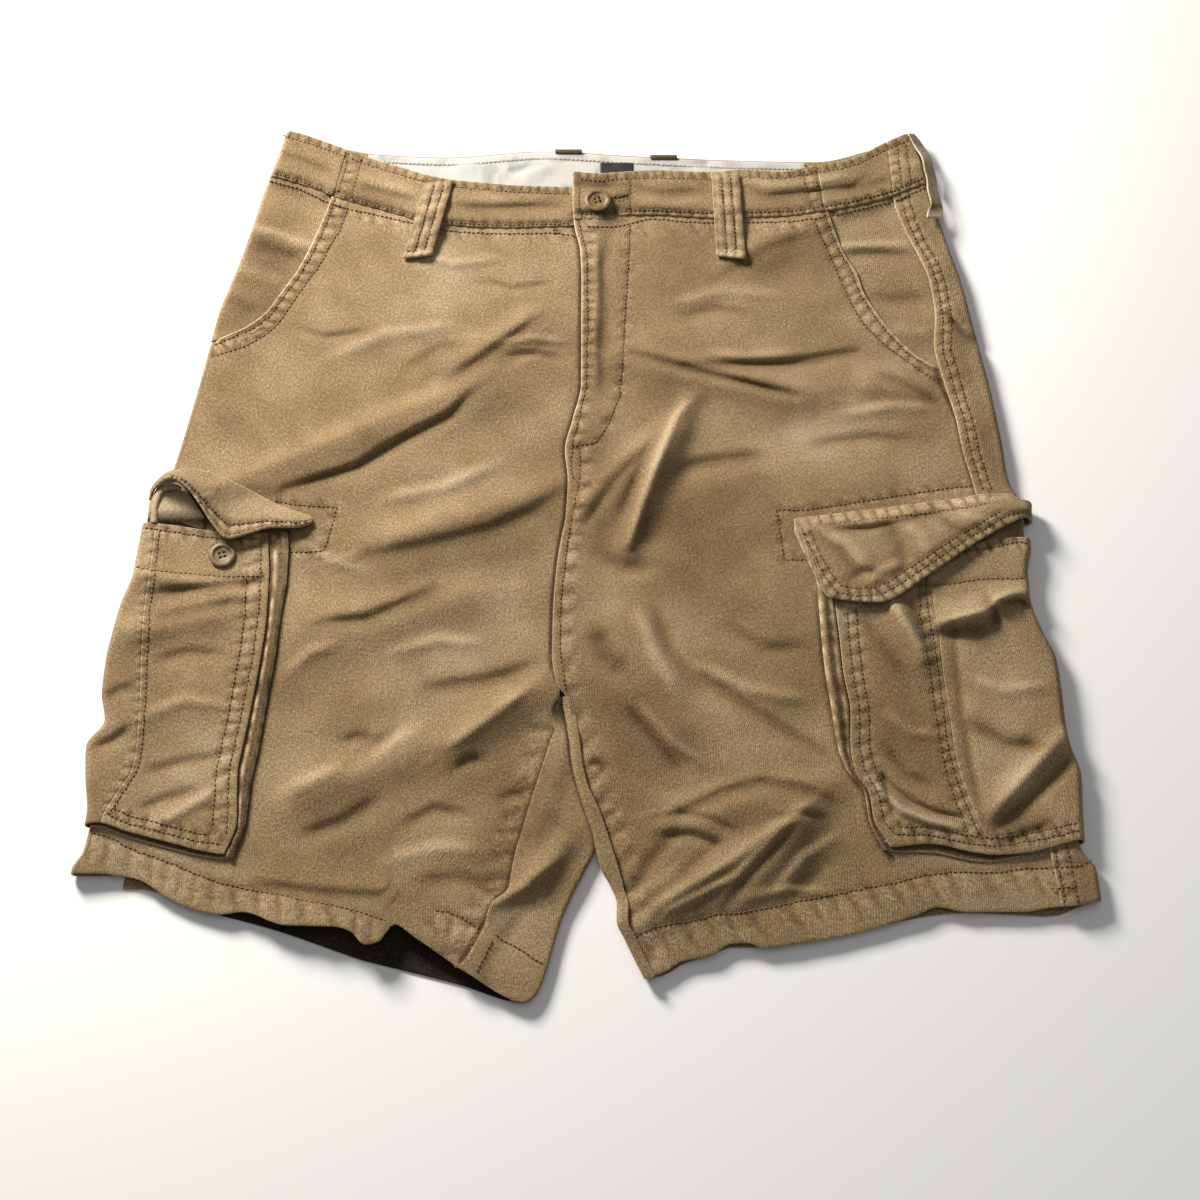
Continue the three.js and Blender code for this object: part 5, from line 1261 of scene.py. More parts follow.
lay_out(white_facing, ["waistband_facing"],
        bleached_cotton())


def woven_satin():
    """Dark tightly woven satin ribbon: a slight gloss across fine ribs, drawn at 0.8 mm."""
    material, tree, output = new_material("woven_satin_dark")
    chart = add_node(tree, "ShaderNodeUVMap", uv_map="UVMap").outputs["UV"]
    ribs = add_node(tree, "ShaderNodeTexWave", {
        "Vector": chart, "Scale": 0.314 / 0.0008, "Distortion": 0.6}, bands_direction="Y")
    tint = add_node(tree, "ShaderNodeValToRGB", {"Fac": ribs.outputs["Fac"]})
    tint.color_ramp.elements[0].color = linear("#0C0E12")
    tint.color_ramp.elements[1].color = linear("#1A1D23")
    rib = add_node(tree, "ShaderNodeBump", {
        "Strength": 0.4, "Distance": 0.0002, "Height": ribs.outputs["Fac"]})
    satin = add_node(tree, "ShaderNodeBsdfPrincipled", {
        "Base Color": tint.outputs["Color"], "Roughness": 0.5, "Normal": rib.outputs["Normal"]})
    tree.links.new(satin.outputs["BSDF"], output.inputs["Surface"])
    return material


TAB = SimpleNamespace(x=21, y=273, width=22, height=12, wall=0.8)
v, u = np.meshgrid(np.linspace(0.5, -0.5, 14), np.linspace(-0.5, 0.5, 24), indexing="ij")
x, y = TAB.x + u * TAB.width, TAB.y + v * TAB.height
lift = FACING_WALL / 2 + 0.3 + TAB.wall / 2 + 0.15 * np.sin(9 * u) * np.sin(5 * v)
tab = cloth_mesh("woven_tab", rest(x, y, FACING_REST + lift), TAB.wall, rim=0)
lay_out(tab, ["label_tab"], woven_satin())

# Belt loops
# Strips of twill 18.5 mm wide with two felled rows, sewn over the band with their lower ends turned
# under. The left side loop stands off the fold, and two tips of the back loops show on the facing.
LOOP_WALL = 1.4


def loop_height(x, y, t):
    return band_height(x, y) + BAND / 2 + LOOP_WALL / 2 + 0.5 + 1.2 * np.sin(np.pi * t)


def belt_loop(name, node, top, bottom, width, twist):
    """A strip from its top to its bottom end; twist tips its lower part sideways."""
    t, side = np.meshgrid(np.linspace(0, 1, 48), np.linspace(-0.5, 0.5, 15), indexing="ij")
    middle_x, middle_y = lerp(top[0], bottom[0], t), lerp(top[1], bottom[1], t)
    x = middle_x + side * width
    y = middle_y - side * width * 0.12 * math.copysign(1, top[0])
    ribs = 0.2 * np.cos(3 * 2 * np.pi * side)
    wave = 0.3 * np.sin(t * 19 + 5 * side) + twist * side * bell(t - 0.75, 0.2)
    # Its ribs are paler on top, where they rub, and darker between as painted shade; its turned lower end
    # is worn light.
    wear_and_painted_shade = 0.25 * np.cos(3 * 2 * np.pi * side) + 0.2 * np.sin(t * 41) + 0.5 * smooth((t - 0.94) / 0.05)
    thick = np.where(t > 0.95, FOLDED, LOOP_WALL)
    piece = cloth_mesh(name, place(x, y, loop_height(x, y, t) + ribs + wave), thick, wear_and_painted_shade, seam=0.7)
    ends = [(lerp(top[0], bottom[0], k), lerp(top[1], bottom[1], k)) for k in (0.03, 0.93)]
    rows = [[(end_x + share * width, end_y) for end_x, end_y in ends] for share in (-0.17, 0.17)]
    low = bottom[1] + 3
    rows.append([(bottom[0] - 0.42 * width, low + 1), (bottom[0] + 0.42 * width, low - 1)])

    def face(x, y):
        k = np.clip((top[1] - y) / (top[1] - bottom[1]), 0, 1)
        return loop_height(x, y, k) + 0.1
    thread = stitches(name.replace("twill", "stitching"), rows, face, LOOP_WALL / 2)
    lay_out(piece, [node])


belt_loop("twill_loop_front_right", "belt_loop_front_right", (-102.5, 266), (-115.5, 206.5), 18.5, 1.0)
belt_loop("twill_loop_front_left", "belt_loop_front_left", (97, 272.5), (99.5, 206), 18.5, -2.0)

STANDING = table(
    "y upper_x lower_x drop",
    (306, 226.5, 230, 5), (297, 230.5, 236, 6), (282, 236, 241.5, 7), (260, 238, 244, 7),
    (248, 239, 245.5, 6), (243, 237.5, 246.5, 5), (237, 236, 246, 4),
)
y, side = np.meshgrid(np.linspace(306, 237, 46), np.linspace(0, 1, 12), indexing="ij")
x = lerp(STANDING.upper_x(y), STANDING.lower_x(y), side) + 0.3 * np.sin(y / 3)
z = front(SECTION.fold_left(y), y) + 4.6 - side * STANDING.drop(y) + 0.5 * np.sin(y / 4 + 2 * side)
wear_and_painted_shade = 0.5 + 0.3 * np.sin(y / 5) + 0.8 * bell(y - 240, 3) - 0.9 * bell(y - 246, 2)
side_loop = cloth_mesh("twill_loop_side_left", place(x, y, z), LOOP_WALL, wear_and_painted_shade, seam=0.7)
lay_out(side_loop, ["belt_loop_side_left"])

BACK_LOOP = SimpleNamespace(half=9, inside=2.6, wall=1.0)
for side_name, loop_x in (("right", -12.5), ("left", 54)):
    edge = WAIST_BACK.top(loop_x) + BAND / 2
    high = FACING_REST + FACING_WALL / 2 + 0.3 + BACK_LOOP.wall / 2
    path = np.array([(-BACK_LOOP.inside, high), (-1.5, high), (-0.4, high - 0.1), (0.4, high * 0.75),
                     (0.8, high * 0.5), (0.9, BACK_LOOP.wall / 2)])
    across = np.linspace(-1, 1, 12)
    points = rest(loop_x + BACK_LOOP.half * across[None, :] + 0 * path[:, :1], edge + path[:, :1],
                  path[:, 1:] + 0 * across[None])
    tip = cloth_mesh("twill_loop_back_" + side_name, points, BACK_LOOP.wall, wear_and_painted_shade=-1.1)
    lay_out(tip, ["belt_loop_back_" + side_name])

# Cargo pockets
# Bellows pockets on the sides of the legs: a front panel up to a felled middle seam, a rear panel
# that goes on round the side fold, and a folded gusset that joins the front edge to the leg.
POCKET_RISE = 3.6
CARGO_RIGHT = table(
    "y front middle flange",
    (0, -207, -279.5, -194), (-15, -205, -280, -192), (-35, -203.5, -281, -192),
    (-60, -203.5, -282, -194.5), (-90, -205.5, -281, -196.5), (-120, -209, -279.5, -200),
    (-150, -213, -279, -203), (-165, -215, -281, -205.5), (-180, -214.5, -289, -207),
    (-198, -213.5, -297, -208), (-218, -219.5, -299, -214),
)
CARGO_LEFT = table(
    "y front middle flange",
    (-20, 160, 224, 148), (-45, 160, 222.5, 149.5), (-75, 162, 225, 150.5), (-100, 163.5, 226, 152),
    (-125, 166.8, 228, 155), (-150, 165.8, 230, 158), (-165, 168, 232, 163), (-180, 176, 236, 173),
    (-197, 178, 241.5, 175), (-212, 186, 247.5, 181), (-220, 188, 251, 186),
)
CARGO_EDGES = table(
    "x top bottom",
    (-312, 6, -200), (-298, 6.5, -198), (-280, 3.5, -203.5), (-265, 1.5, -207.5), (-250, -1, -211.5),
    (-235, -3, -215.5), (-219, -3.5, -218), (-203, -3, -218), (158, -26, -213), (187, -22, -213.5),
    (210, -18, -211.5), (238, -14, -217), (250, -11.5, -218.5), (270, -7, -217), (292, -6.5, -211.5),
    (308, -7, -207),
)
CARGO_FOLDS = [
    Crease(4.5, 7, 8, [(226, -66), (278, -46)]),
    Crease(3, 9, 9, [(198, -52), (216, -100)]),
    Crease(2.4, 9, 12, [(236, -122), (280, -145)]),
    Crease(3, 8, 9, [(246, -196), (300, -140)]),
    Crease(2.2, 7, 9, [(-296, -30), (-214, -46)]),
    Crease(2.4, 9, 12, [(-300, -74), (-226, -56)]),
]
CARGO_CREASES = [
    Crease(-1.5, 3, 6, [(-270, -44), (-240, -41), (-206, -38)]),
    Crease(-1.2, 4, 6, [(-276, -64), (-250, -58), (-222, -52)]),
    Crease(-1.0, 4, 6, [(-268, -92), (-250, -86), (-232, -88)]),
    Crease(1.0, 4, 6, [(-274, -128), (-250, -118), (-226, -122)]),
    Crease(-1.0, 4, 5, [(-300, -118), (-292, -112), (-284, -110)]),
    Crease(-1.2, 4, 5, [(-304, -150), (-294, -146), (-284, -138)]),
    Crease(-1.0, 4, 6, [(-270, -166), (-250, -160), (-226, -156)]),
    Crease(1.2, 4, 5, [(-262, -200), (-246, -190), (-226, -178)]),
    Crease(-1.0, 4, 5, [(-272, -190), (-258, -184), (-240, -178)]),
    Crease(-2.2, 3, 5, [(262, -68), (261, -58), (258, -50)][::-1]),
    Crease(-2.4, 3, 4, [(264, -52), (276, -50), (285, -56)]),
    Crease(2.0, 3, 4, [(226, -65), (240, -62), (256, -58), (263, -50), (280, -44)]),
    Crease(-1.6, 4, 6, [(226, -74), (240, -72), (256, -70)]),
    Crease(1.5, 4, 5, [(196, -50), (206, -68), (216, -90)]),
    Crease(-1.4, 4, 5, [(206, -52), (214, -66), (221, -80)]),
    Crease(-1.2, 5, 6, [(178, -64), (190, -84), (204, -104)]),
    Crease(1.2, 4, 5, [(250, -192), (276, -164), (300, -138)]),
    Crease(-1.6, 4, 5, [(252, -202), (280, -178), (304, -156)]),
    Crease(-1.2, 5, 6, [(242, -136), (262, -148), (288, -150)]),
    Crease(1.0, 4, 6, [(244, -104), (262, -112), (290, -108)]),
    Crease(-1.2, 4, 5, [(188, -150), (200, -168), (214, -176)]),
    Crease(1.1, 4, 5, [(190, -128), (204, -140), (218, -142)]),
    Crease(-1.2, 4, 4, [(256, -212), (270, -206), (286, -200)]),
    Crease(-1.0, 3, 4, [(234, -60), (236, -120), (240, -165), (246, -200)]),
    Crease(1.9, 2.2, 3.2, [(176, -170), (186, -182), (196, -191), (210, -197), (230, -202)]),
    Crease(-1.6, 2.2, 2.6, [(184, -168), (193, -178), (203, -186), (216, -192), (234, -196)]),
    Crease(-1.4, 2.5, 3, [(184, -166), (186, -180), (190, -194)][::-1]),
]
CARGO_STITCHES_RIGHT = [
    [(-286, 1), (-280, 0), (-265, -2.5), (-250, -5), (-235, -7), (-219, -7.5), (-208, -7)],
    [(-289, -27), (-280, -29), (-260, -31.5), (-240, -33), (-225, -34), (-206, -33)],
    [(-210, -8), (-208.5, -35), (-208.5, -60), (-210.5, -90), (-214, -120), (-218, -150), (-220, -165),
     (-219.5, -180), (-219, -206)],
    [(-218, -34), (-217, -60), (-219, -90), (-222, -120), (-226, -150), (-228, -165), (-228, -202)],
    [(-276, 0), (-277, -35), (-278, -60), (-277, -90), (-275.5, -120), (-275, -150), (-277, -165),
     (-285, -180), (-292, -193)],
    [(-291, -194), (-280, -198.5), (-265, -202.5), (-250, -206.5), (-235, -210.5), (-222, -212)],
    [(-290, -189), (-280, -193.5), (-265, -197.5), (-250, -201.5), (-235, -205.5), (-229, -206.5)],
]
CARGO_STITCHES_LEFT = [
    [(238, -18), (250, -15.5), (263, -13), (281, -9), (287, -11)],
    [(217, -41), (240, -38), (255, -35.5), (282, -35)],
    [(167, -58), (167, -75), (168.5, -100), (171.5, -125), (170.5, -150), (173, -164), (181, -180),
     (183, -197), (190, -206)],
    [(173, -56), (173, -75), (174.5, -100), (177.5, -125), (176.5, -150), (180, -166), (186, -180)],
    [(219.5, -32), (218, -45), (219, -62), (221, -80), (224, -125), (225, -145), (228, -165), (232, -180),
     (241, -207)],
    [(214.5, -40), (213, -62), (216, -90), (219, -125), (220.5, -145), (223, -165), (227, -182),
     (234, -204)],
    [(190, -206), (210, -206), (232, -211), (248, -213.5), (262, -212), (292, -206), (303, -203)],
    [(192, -201), (210, -201), (232, -206), (248, -208.5), (262, -207), (292, -201), (303, -198)],
]
CARGO_PUCKERS = [
    Pucker(0.18, 0.42, 6, 9, [(-286, -1), (-250, -4), (-208, -6)]),
    Pucker(0.18, 0.42, 7, 10, [(-214, -10), (-213, -60), (-215, -90), (-222, -150), (-224, -200)]),
    Pucker(0.18, 0.42, 4, 8, [(-279, -3), (-281, -60), (-278, -120), (-278, -150), (-292, -192)]),
    Pucker(0.21, 0.42, 6, 9, [(-290, -192), (-265, -200), (-235, -209), (-222, -211)]),
    Pucker(0.18, 0.42, 6, 9, [(170, -56), (172, -100), (174, -150), (184, -190), (192, -204)]),
    Pucker(0.18, 0.42, 6, 9, [(218, -34), (217, -62), (222, -125), (227, -165), (238, -208)]),
    Pucker(0.21, 0.42, 6, 9, [(190, -204), (232, -209), (262, -210), (303, -201)]),
    Pucker(0.18, 0.42, 6, 9, [(238, -16), (263, -11), (287, -9)]),
]


def cargo(x, y):
    return front(x, y) + POCKET_RISE + 1.4 * creased(x, y, CARGO_FOLDS)


def relief_cargo(x, y):
    rise, wear_and_painted_shade, seam = puckered(x, y, CARGO_PUCKERS, CARGO_STITCHES_RIGHT + CARGO_STITCHES_LEFT)
    creases = creased(x, y, CARGO_CREASES, CREASE_SHARP)
    # The creases are paler on ridges, which rub, and darker in troughs as painted shade, over the broad
    # patches.
    return rise + CREASE_SCALE * creases, wear_and_painted_shade + 0.35 * creases + broad_tone(x, y), seam


def cargo_face(x, y):
    return cargo(x, y) + relief_cargo(x, y)[0]


def gusset_height(shape):
    def height(x, y):
        t = np.clip((x - shape.flange(y)) / (shape.front(y) - shape.flange(y)), 0, 1)
        return front(x, y) + lerp(LAP, 3.4, t) + 1.2 * np.sin(2 * np.pi * t) * smooth(t / 0.1)
    return height


# The foot of a gusset: its ends, its depth below the pocket and how much deeper its middle hangs
Foot = namedtuple("Foot", "start end depth sag")
# The cut of the panels that shows, and the points across the rear one
PocketCut = namedtuple("PocketCut", "front_area rear_width rear_area rear_points")


def cargo_pocket(side, shape, side_fold, sign, rows, foot, cut):
    """The pieces of one pocket; sign is -1 on the right leg and 1 on the left one."""
    along = np.linspace(0, 1, 110)
    area = patch(shape.front, lambda y: shape.middle(y) - sign * 1.0, CARGO_EDGES.top, CARGO_EDGES.bottom)
    sheet = spread(area, np.linspace(0, 1, 40), along, cargo, relief_cargo)
    front_panel = cloth_mesh("twill_cargo_front_" + side, sheet.points, CLOTH, sheet.wear_and_painted_shade, sheet.seam)
    thread = stitches("stitching_cargo_" + side, rows, cargo_face)
    lay_out(front_panel, ["cargo_pocket_front_" + side])

    area = patch(lambda y: shape.middle(y) + sign * 0.2, lambda y: side_fold(y) - sign * FOLD,
                 CARGO_EDGES.top, CARGO_EDGES.bottom)
    sheet = spread(area, np.linspace(0, 1, cut.rear_points), along, cargo, relief_cargo)
    edge = sheet.points[:, -1]
    low = edge * [1, 1, 0] + [sign * 1.2, 0, REST]
    around = turn(edge, low, sign * (FOLD + 0.4), 9)
    points = np.concatenate([sheet.points, around], 1)
    tail = [(0, 0), (0, around.shape[1])]
    rear_panel = cloth_mesh("twill_cargo_rear_" + side, points, CLOTH, np.pad(sheet.wear_and_painted_shade, tail),
                            np.pad(sheet.seam, tail))
    lay_out(rear_panel, ["cargo_pocket_rear_" + side])

    strip = patch(lambda y: shape.front(y) - sign * 0.5, shape.flange, CARGO_EDGES.top,
                  lambda x: CARGO_EDGES.bottom(x) - 2)
    sheet = spread(strip, np.linspace(0.12, 1, 14), along, gusset_height(shape))
    t = np.linspace(0.12, 1, 14)[None]
    run = sheet.y
    fray = 0.6 * np.sin(run / 2.1 + 2 * np.sin(run / 11)) + 0.5 * np.sin(run / 5.3)
    # The gusset's edge and crest are light, partly worn and partly painted highlight, and the troughs
    # between its folds are darkened as painted shade.
    wear_and_painted_shade = (0.4 + 0.9 * fray) * bell(t - 1, 0.14) - 1.0 * bell(t - 0.62, 0.16)
    wear_and_painted_shade += (0.3 + 0.9 * fray) * bell(t - 0.34, 0.14) - 0.9 * bell(t - 0.12, 0.1)
    sheet.points[..., 2] += 0.3 * fray * bell(t - 0.5, 0.4)
    gusset = cloth_mesh("twill_gusset_" + side, sheet.points, CLOTH, wear_and_painted_shade, seam=0.6)
    v, u = np.meshgrid(np.linspace(0, 1, 9), np.linspace(0, 1, 70), indexing="ij")
    x = lerp(foot.start, foot.end, u)
    deep = foot.depth + foot.sag * np.sin(np.pi * u)
    y = CARGO_EDGES.bottom(x) + 3 - v * (3 + deep)
    # The foot is darkened as painted shade in the hollow under the pocket, and its lower edge is worn
    # light.
    wear_and_painted_shade = 1.4 * bell(v - 1, 0.1) - 1.1 * smooth(v / 0.3)
    foot_points = place(x, y, front(x, y) + lerp(2.4, 1.3, v))
    foot_strip = cloth_mesh("twill_gusset_foot_" + side, foot_points, CLOTH, wear_and_painted_shade)
    add_strip(foot_strip)
    lay_out(gusset, ["cargo_gusset_" + side])


cargo_pocket("right", CARGO_RIGHT, SECTION.fold_right, -1, CARGO_STITCHES_RIGHT,
             Foot(-215, -302, 2.5, 1.5), PocketCut(0.0157, 0.042, 0.0060, 16))
cargo_pocket("left", CARGO_LEFT, SECTION.fold_left, 1, CARGO_STITCHES_LEFT,
             Foot(265, 182, 2.0, 4.0), PocketCut(0.0127, 0.086, 0.0168, 36))

# Pocket flaps
# Double twill, edge-stitched in two rows. The left one lies over its pocket and round the side;
# the right one is pushed up into an arch over the side fold.
FLAP_SEWN = 1.6
FLAP_LEFT = table(
    "x top bottom lift",
    (136, 6.5, -1, 0), (146, 7.5, -27, 0.4), (157, 9, -48, 0.8), (187, 13, -51, 1.6), (220, 17.5, -32, 1.6),
    (245, 21, -14, 1.2), (262, 24, -3, 0.8), (275, 24, 4.5, 0.4), (284, 20, 9, 0),
)
FLAP_WALL = 2.0
FLAP_CREASES = [
    Crease(-1.0, 4, 5, [(150, -6), (164, -16), (178, -34)]),
    Crease(1.0, 4, 5, [(158, -4), (172, -12), (184, -30)]),
    Crease(-0.9, 4, 5, [(196, 2), (204, -10), (206, -28)]),
    Crease(0.9, 4, 5, [(208, 4), (218, -6), (224, -18)]),
    Crease(-0.9, 3, 4, [(232, 6), (240, 0), (250, -6)]),
    Crease(0.8, 3, 4, [(244, 10), (256, 6), (266, 4)]),
    Crease(-1.1, 3, 4, [(160, -1), (184, 0), (206, 6), (232, 11)]),
    Crease(0.8, 2.5, 3, [(166, 3), (190, 5), (214, 9)]),
    Crease(-0.9, 3, 3, [(170, -36), (180, -30), (190, -33)]),
    Crease(0.8, 3, 3, [(182, -38), (192, -30), (204, -24)]),
]
FLAP_STITCHES_LEFT = [
    [(140, 1), (143, -8), (148, -20), (154, -34), (161, -44.5), (172, -47), (187, -46.5), (198, -41.5),
     (216, -29), (238, -13), (258, -0.5), (273, 9), (284, 13)],
    [(145, 0), (148, -9), (153, -21), (158.5, -33), (164, -40), (174, -42), (185, -41.5), (194, -37.5),
     (213, -25), (235, -9), (255, 3.5), (270, 12.5)],
    [(139, 3), (160, 3.5), (175, 5.5), (200, 8.5), (222, 11.5), (245, 14.5), (262, 18), (274, 19)],
]
FLAP_PUCKERS_LEFT = [
    Pucker(0.3, 0.6, 6, 7, [(140, -4), (150, -30), (162, -47), (187, -48), (218, -30), (240, -14),
                            (275, 6)]),
    Pucker(0.18, 0.42, 5, 9, [(138, 5), (175, 9), (222, 15), (262, 22)]),
]


def flap_left_height(x, y):
    sewn, free = FLAP_LEFT.top(x), FLAP_LEFT.bottom(x)
    down = np.clip((sewn - y) / np.maximum(1, sewn - free), 0, 1)
    low = FLAP_SEWN + LAP * smooth((x - 236) / 12)
    stand = lerp(low, POCKET_RISE + 3.6, smooth((sewn - y) / 7))
    belly = 1.5 * bell(down - 0.5, 0.3) * smooth((x - 140) / 20)
    return front(x, y) + stand + FLAP_LEFT.lift(x) * down + belly


def relief_flap_left(x, y):
    rise, wear_and_painted_shade, seam = puckered(x, y, FLAP_PUCKERS_LEFT, FLAP_STITCHES_LEFT)
    creases = creased(x, y, FLAP_CREASES)
    # The creases are paler on ridges, which rub, and darker in troughs as painted shade.
    return rise + 1.8 * creases, wear_and_painted_shade + 0.45 * creases, seam


area = patch(lambda y: 136.5 + 0 * y, lambda y: 284 + 0 * y, FLAP_LEFT.top, FLAP_LEFT.bottom)
sheet = spread(area, np.linspace(0, 1, 90), np.linspace(0, 1, 34), flap_left_height, relief_flap_left)
edge = sheet.points[:, -1]
low = edge * [1, 1, 0] + [2.4, -1, 3.2]
around = turn(edge, low, 5.4, 9)
tail = [(0, 0), (0, around.shape[1])]
left_flap = cloth_mesh("twill_flap_left", np.concatenate([sheet.points, around], 1), FLAP_WALL,
                       np.pad(sheet.wear_and_painted_shade, tail), np.pad(sheet.seam, tail))
left_flap_rows = stitches("stitching_flap_left", FLAP_STITCHES_LEFT,
                          lambda x, y: flap_left_height(x, y) + relief_flap_left(x, y)[0], FLAP_WALL / 2)
lay_out(left_flap, ["cargo_flap_left"])

# Sections of the right flap from its sewn edge to its free edge, and their height over the leg
FLAP_RIGHT = table(
    "section sewn_x sewn_y sewn_stand free_x free_y free_stand",
    (0, -179, 8.5, 1.7, -177.5, 4.5, 2.2), (1, -190, 12, 1.7, -188, 1.5, 5.5),
    (2, -203, 17.5, 1.8, -203, 1.5, 8), (3, -216, 25, 2.6, -217, -2.5, 9.5),
    (4, -229, 32, 5, -231, -6.5, 10), (5, -242, 38, 8, -241, 3, 12), (6, -254, 41.5, 10.5, -250, 16.5, 15),
    (7, -264, 42.5, 11.5, -261, 31, 17), (8, -272, 41, 10.5, -271, 37, 16),
    (9, -278.5, 36, 7, -278.5, 33, 11), (10, -283, 29, 2.5, -283.5, 24, 5),
    (11, -284.5, 22, -1, -284.8, 11, 1),
)
FLAP_ROWS = (0.74, 0.93)  # where its two rows of stitches run, from the sewn edge to the free one


def flap_right_point(k, t):
    x = lerp(FLAP_RIGHT.sewn_x(k), FLAP_RIGHT.free_x(k), t)
    y = lerp(FLAP_RIGHT.sewn_y(k), FLAP_RIGHT.free_y(k), t)
    stand = lerp(FLAP_RIGHT.sewn_stand(k), FLAP_RIGHT.free_stand(k), t)
    return x, y, front(x, y) + stand + 0.9 * np.sin(np.pi * t)


k, t = np.meshgrid(np.linspace(0, 10.3, 96), np.linspace(0, 1, 30), indexing="ij")
x, y, z = flap_right_point(k, t)
wave = np.sin(2 * np.pi * k / 0.62 + 1.5 * np.sin(k * 2))
edge_near = bell(t - 0.86, 0.13)
inner_row, outer_row = bell(t - FLAP_ROWS[0], 0.05), bell(t - FLAP_ROWS[1], 0.04)
# Its edge puckers are worn light and dark, and its stitch rows are darkened as painted shade in their
# grooves.
wear_and_painted_shade = (0.25 + 0.4 * wave) * edge_near - 0.7 * inner_row - 0.6 * outer_row
z = z + 0.3 * wave * edge_near - 0.45 * inner_row
right_flap = cloth_mesh("twill_flap_right", place(x, y, z), FLAP_WALL, wear_and_painted_shade, edge_near)
run = np.linspace(0.3, 10, 60)
flap_lines = []
for share in FLAP_ROWS:
    line_x, line_y = flap_right_point(run, share)[:2]
    flap_lines.append(list(zip(line_x, line_y)))
flap_top = np.stack(flap_right_point(run, 0.85), -1)


def flap_right_face(x, y):
    """Height of the flap's outer face near its free edge, found from the nearest section."""
    gap = np.hypot(x[..., None] - flap_top[:, 0], y[..., None] - flap_top[:, 1])
    return flap_top[:, 2][gap.argmin(-1)]


right_flap_rows = stitches("stitching_flap_right", flap_lines, flap_right_face, FLAP_WALL / 2)

# The pocket's inner cloth in the arch under the right flap, with painted shade at its top and its foot,
# and the rolled edge of the cloth at its side, painted lighter on top and darker on its sides.
v, u = np.meshgrid(np.linspace(0, 1, 30), np.linspace(0, 1, 30), indexing="ij")
x = lerp(-284.0, -248.0, u)
arch_top = np.interp(x, [-284, -282, -278.5, -271, -261, -248], [17, 24, 31, 39, 38, 34])
arch_foot = np.interp(x, [-282, -264, -248], [5, 5, -1])
y = lerp(arch_top, arch_foot, v)
stand = lerp(1.2, 5.5, smooth((33 - y) / 12)) - 3.2 * smooth((14 - y) / 12)
painted_shade_above = np.interp(x, [-282, -279, -273, -267, -258, -248], [22, 27, 32, 34, 25, 10])
wear_and_painted_shade = 0.6 - 2.9 * smooth((y - painted_shade_above + 2) / 2.5) - 1.8 * smooth((9 - y) / 3)
lining = cloth_mesh("twill_flap_lining_right", place(x, y, front(x, y) + stand), CLOTH, wear_and_painted_shade)
ROLL = table(
    "step x y radius stand",
    (0, -264.5, 28.5, 0.8, 5.5), (1, -268.5, 30, 1.7, 5.5), (2, -274, 29.5, 2.3, 5.5),
    (3, -278, 26, 2.5, 5), (4, -279.8, 20, 2.6, 4.5), (5, -280.2, 13, 2.6, 3.5), (6, -279.8, 5, 2.4, 2.5),
)
step, angle = np.meshgrid(np.linspace(0, 6, 50), np.radians(np.linspace(-120, 120, 17)), indexing="ij")
x, y = ROLL.x(step), ROLL.y(step)
slope = np.gradient(np.stack([x[:, 0], y[:, 0]], -1), axis=0)
slope /= np.linalg.norm(slope, axis=1, keepdims=True)
reach = ROLL.radius(step) * np.sin(angle)
x, y = x + slope[:, 1:] * reach, y - slope[:, :1] * reach
high = front(x, y) + ROLL.stand(step) + ROLL.radius(step) * np.cos(angle)
# The roll is painted lighter along its top as a highlight and darker on its sides as shade.
roll = cloth_mesh("twill_flap_roll_right", place(x, y, high), CLOTH, 1.5 * np.cos(angle) - 0.9)
for strip in (lining, roll):
    add_strip(strip)
lay_out(right_flap, ["cargo_flap_right"])

# Buttons
# Moulded four-hole buttons of brown mottled resin with a raised rim, 18 mm on the fly and 17 mm on
# the right pocket, seated just off the cloth as a sewn button is.
BUTTON_WAIST = SimpleNamespace(diameter=18, x=8.0, y=251.0)
BUTTON_POCKET = SimpleNamespace(diameter=17, x=-234.0, y=-19.0)
# Thickness, height of the lip, depth of the dish, hole radius and softening are in millimetres. The
# rim and its slope are shares of the radius, the spread one of the diameter, the foot one of the back.
BUTTON_SHAPE = SimpleNamespace(thick=2.4, lip=0.4, dish=0.9, hole=0.9, rim=0.14, slope=0.12, spread=0.085,
                               foot=0.8, soft=0.25)
SEAT = 0.5


def moulded_resin():
    """Polyester resin, polished: soft gloss over a cloudy brown."""
    material, tree, output = new_material("polyester_resin_brown")
    place_in = add_node(tree, "ShaderNodeTexCoord").outputs["Object"]
    cloud = add_node(tree, "ShaderNodeTexNoise", {
        "Vector": place_in, "Scale": 160, "Detail": 4, "Distortion": 1.2})
    tint = add_node(tree, "ShaderNodeValToRGB", {"Fac": cloud.outputs["Fac"]})
    tint.color_ramp.elements[0].position, tint.color_ramp.elements[0].color = 0.3, linear("#4A3518")
    tint.color_ramp.elements[1].position, tint.color_ramp.elements[1].color = 0.7, linear("#80643A")
    scuff = add_node(tree, "ShaderNodeBump", {
        "Strength": 0.2, "Distance": 0.0002, "Height": cloud.outputs["Fac"]})
    resin = add_node(tree, "ShaderNodeBsdfPrincipled", {
        "Base Color": tint.outputs["Color"], "Roughness": 0.5, "IOR": 1.5,
        "Normal": scuff.outputs["Normal"]})
    tree.links.new(resin.outputs["BSDF"], output.inputs["Surface"])
    return material


RESIN = moulded_resin()


def select_faces(obj, chosen):
    """Leaves only the chosen faces selected in edit mode."""
    bpy.ops.mesh.select_mode(type="FACE")
    bpy.ops.mesh.select_all(action="DESELECT")
    bpy.ops.object.mode_set(mode="OBJECT")
    for face in obj.data.polygons:
        face.select = chosen(face)
    bpy.ops.object.mode_set(mode="EDIT")


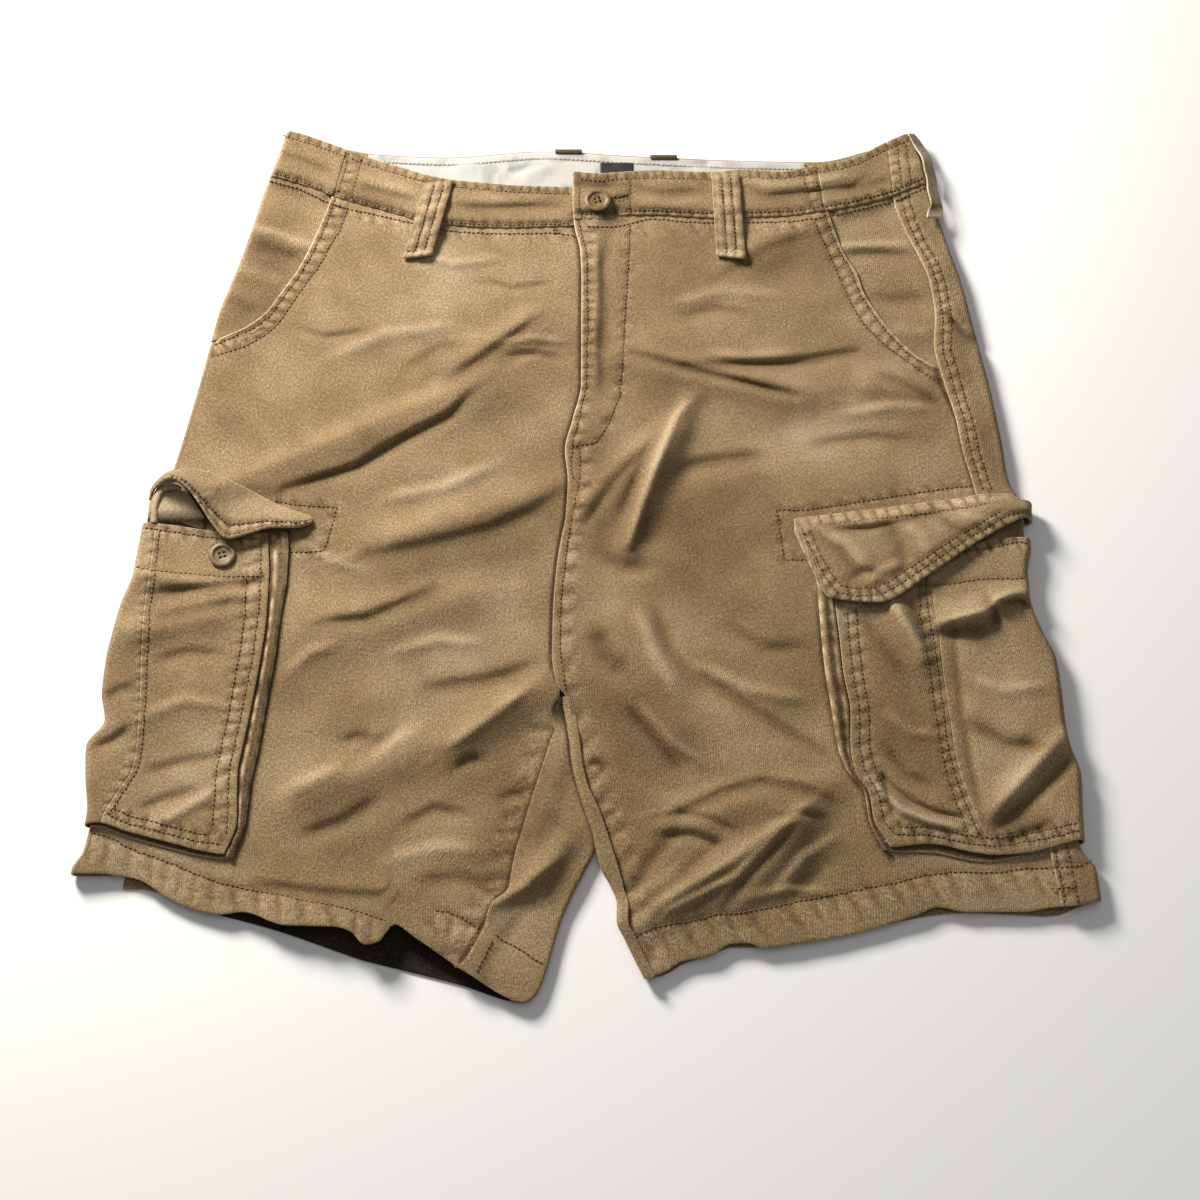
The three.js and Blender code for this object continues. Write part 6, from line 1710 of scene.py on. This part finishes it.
def sew_button(name, node, spec, height, wall):
    """A button on the cloth whose middle is at a height and whose wall is that thick."""
    shape = BUTTON_SHAPE
    radius = spec.diameter / 2 * MM
    z = height(np.array(spec.x), np.array(spec.y)) + wall / 2 + SEAT
    centre = place(spec.x, spec.y, z) * MM
    bpy.ops.object.select_all(action="DESELECT")
    bpy.ops.mesh.primitive_cylinder_add(vertices=48, radius=radius, depth=shape.thick * MM,
                                        location=(0, 0, shape.thick / 2 * MM))
    disc = bpy.context.object
    disc.name = name
    bpy.ops.object.mode_set(mode="EDIT")
    select_faces(disc, lambda face: face.normal.z > 0.9)
    bpy.ops.mesh.inset(thickness=radius * shape.rim)
    bpy.ops.transform.translate(value=(0, 0, shape.lip * MM))
    bpy.ops.mesh.inset(thickness=radius * shape.rim)
    bpy.ops.mesh.inset(thickness=radius * shape.slope)
    bpy.ops.transform.translate(value=(0, 0, -shape.dish * MM))
    select_faces(disc, lambda face: face.normal.z < -0.9)
    bpy.ops.transform.resize(value=(shape.foot, shape.foot, 1))
    bpy.ops.object.mode_set(mode="OBJECT")
    cutters = []
    for sx, sy in ((1, 1), (1, -1), (-1, 1), (-1, -1)):
        offset = shape.spread * spec.diameter * MM
        bpy.ops.mesh.primitive_cylinder_add(vertices=16, radius=shape.hole * MM, depth=0.008,
                                            location=(sx * offset, sy * offset, 0.0015))
        cutters.append(bpy.context.object)
    bpy.ops.object.select_all(action="DESELECT")
    for cutter in cutters:
        cutter.select_set(True)
    bpy.context.view_layer.objects.active = cutters[0]
    bpy.ops.object.join()
    drill = bpy.context.object
    holes = disc.modifiers.new("holes", "BOOLEAN")
    holes.object = drill
    holes.operation = "DIFFERENCE"
    bpy.context.view_layer.objects.active = disc
    bpy.ops.object.modifier_apply(modifier="holes")
    bpy.data.objects.remove(drill)
    soften = disc.modifiers.new("soften", "BEVEL")
    soften.width = shape.soft * MM
    soften.segments = 2
    soften.limit_method = "ANGLE"
    soften.angle_limit = math.radians(28)
    bpy.ops.object.modifier_apply(modifier="soften")
    bpy.ops.object.select_all(action="DESELECT")
    disc.select_set(True)
    disc.location = centre
    disc.rotation_euler = (0, 0, 0.3)
    bpy.ops.object.transform_apply(location=True, rotation=True)
    bpy.ops.object.shade_smooth_by_angle(angle=math.radians(35))
    disc.data.materials.append(RESIN)
    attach(disc, "root")
    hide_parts(node)


sew_button("resin_button_waist", "button_waist", BUTTON_WAIST, band_lap, BAND)
sew_button("resin_button_pocket", "button_pocket_right", BUTTON_POCKET, cargo, CLOTH)
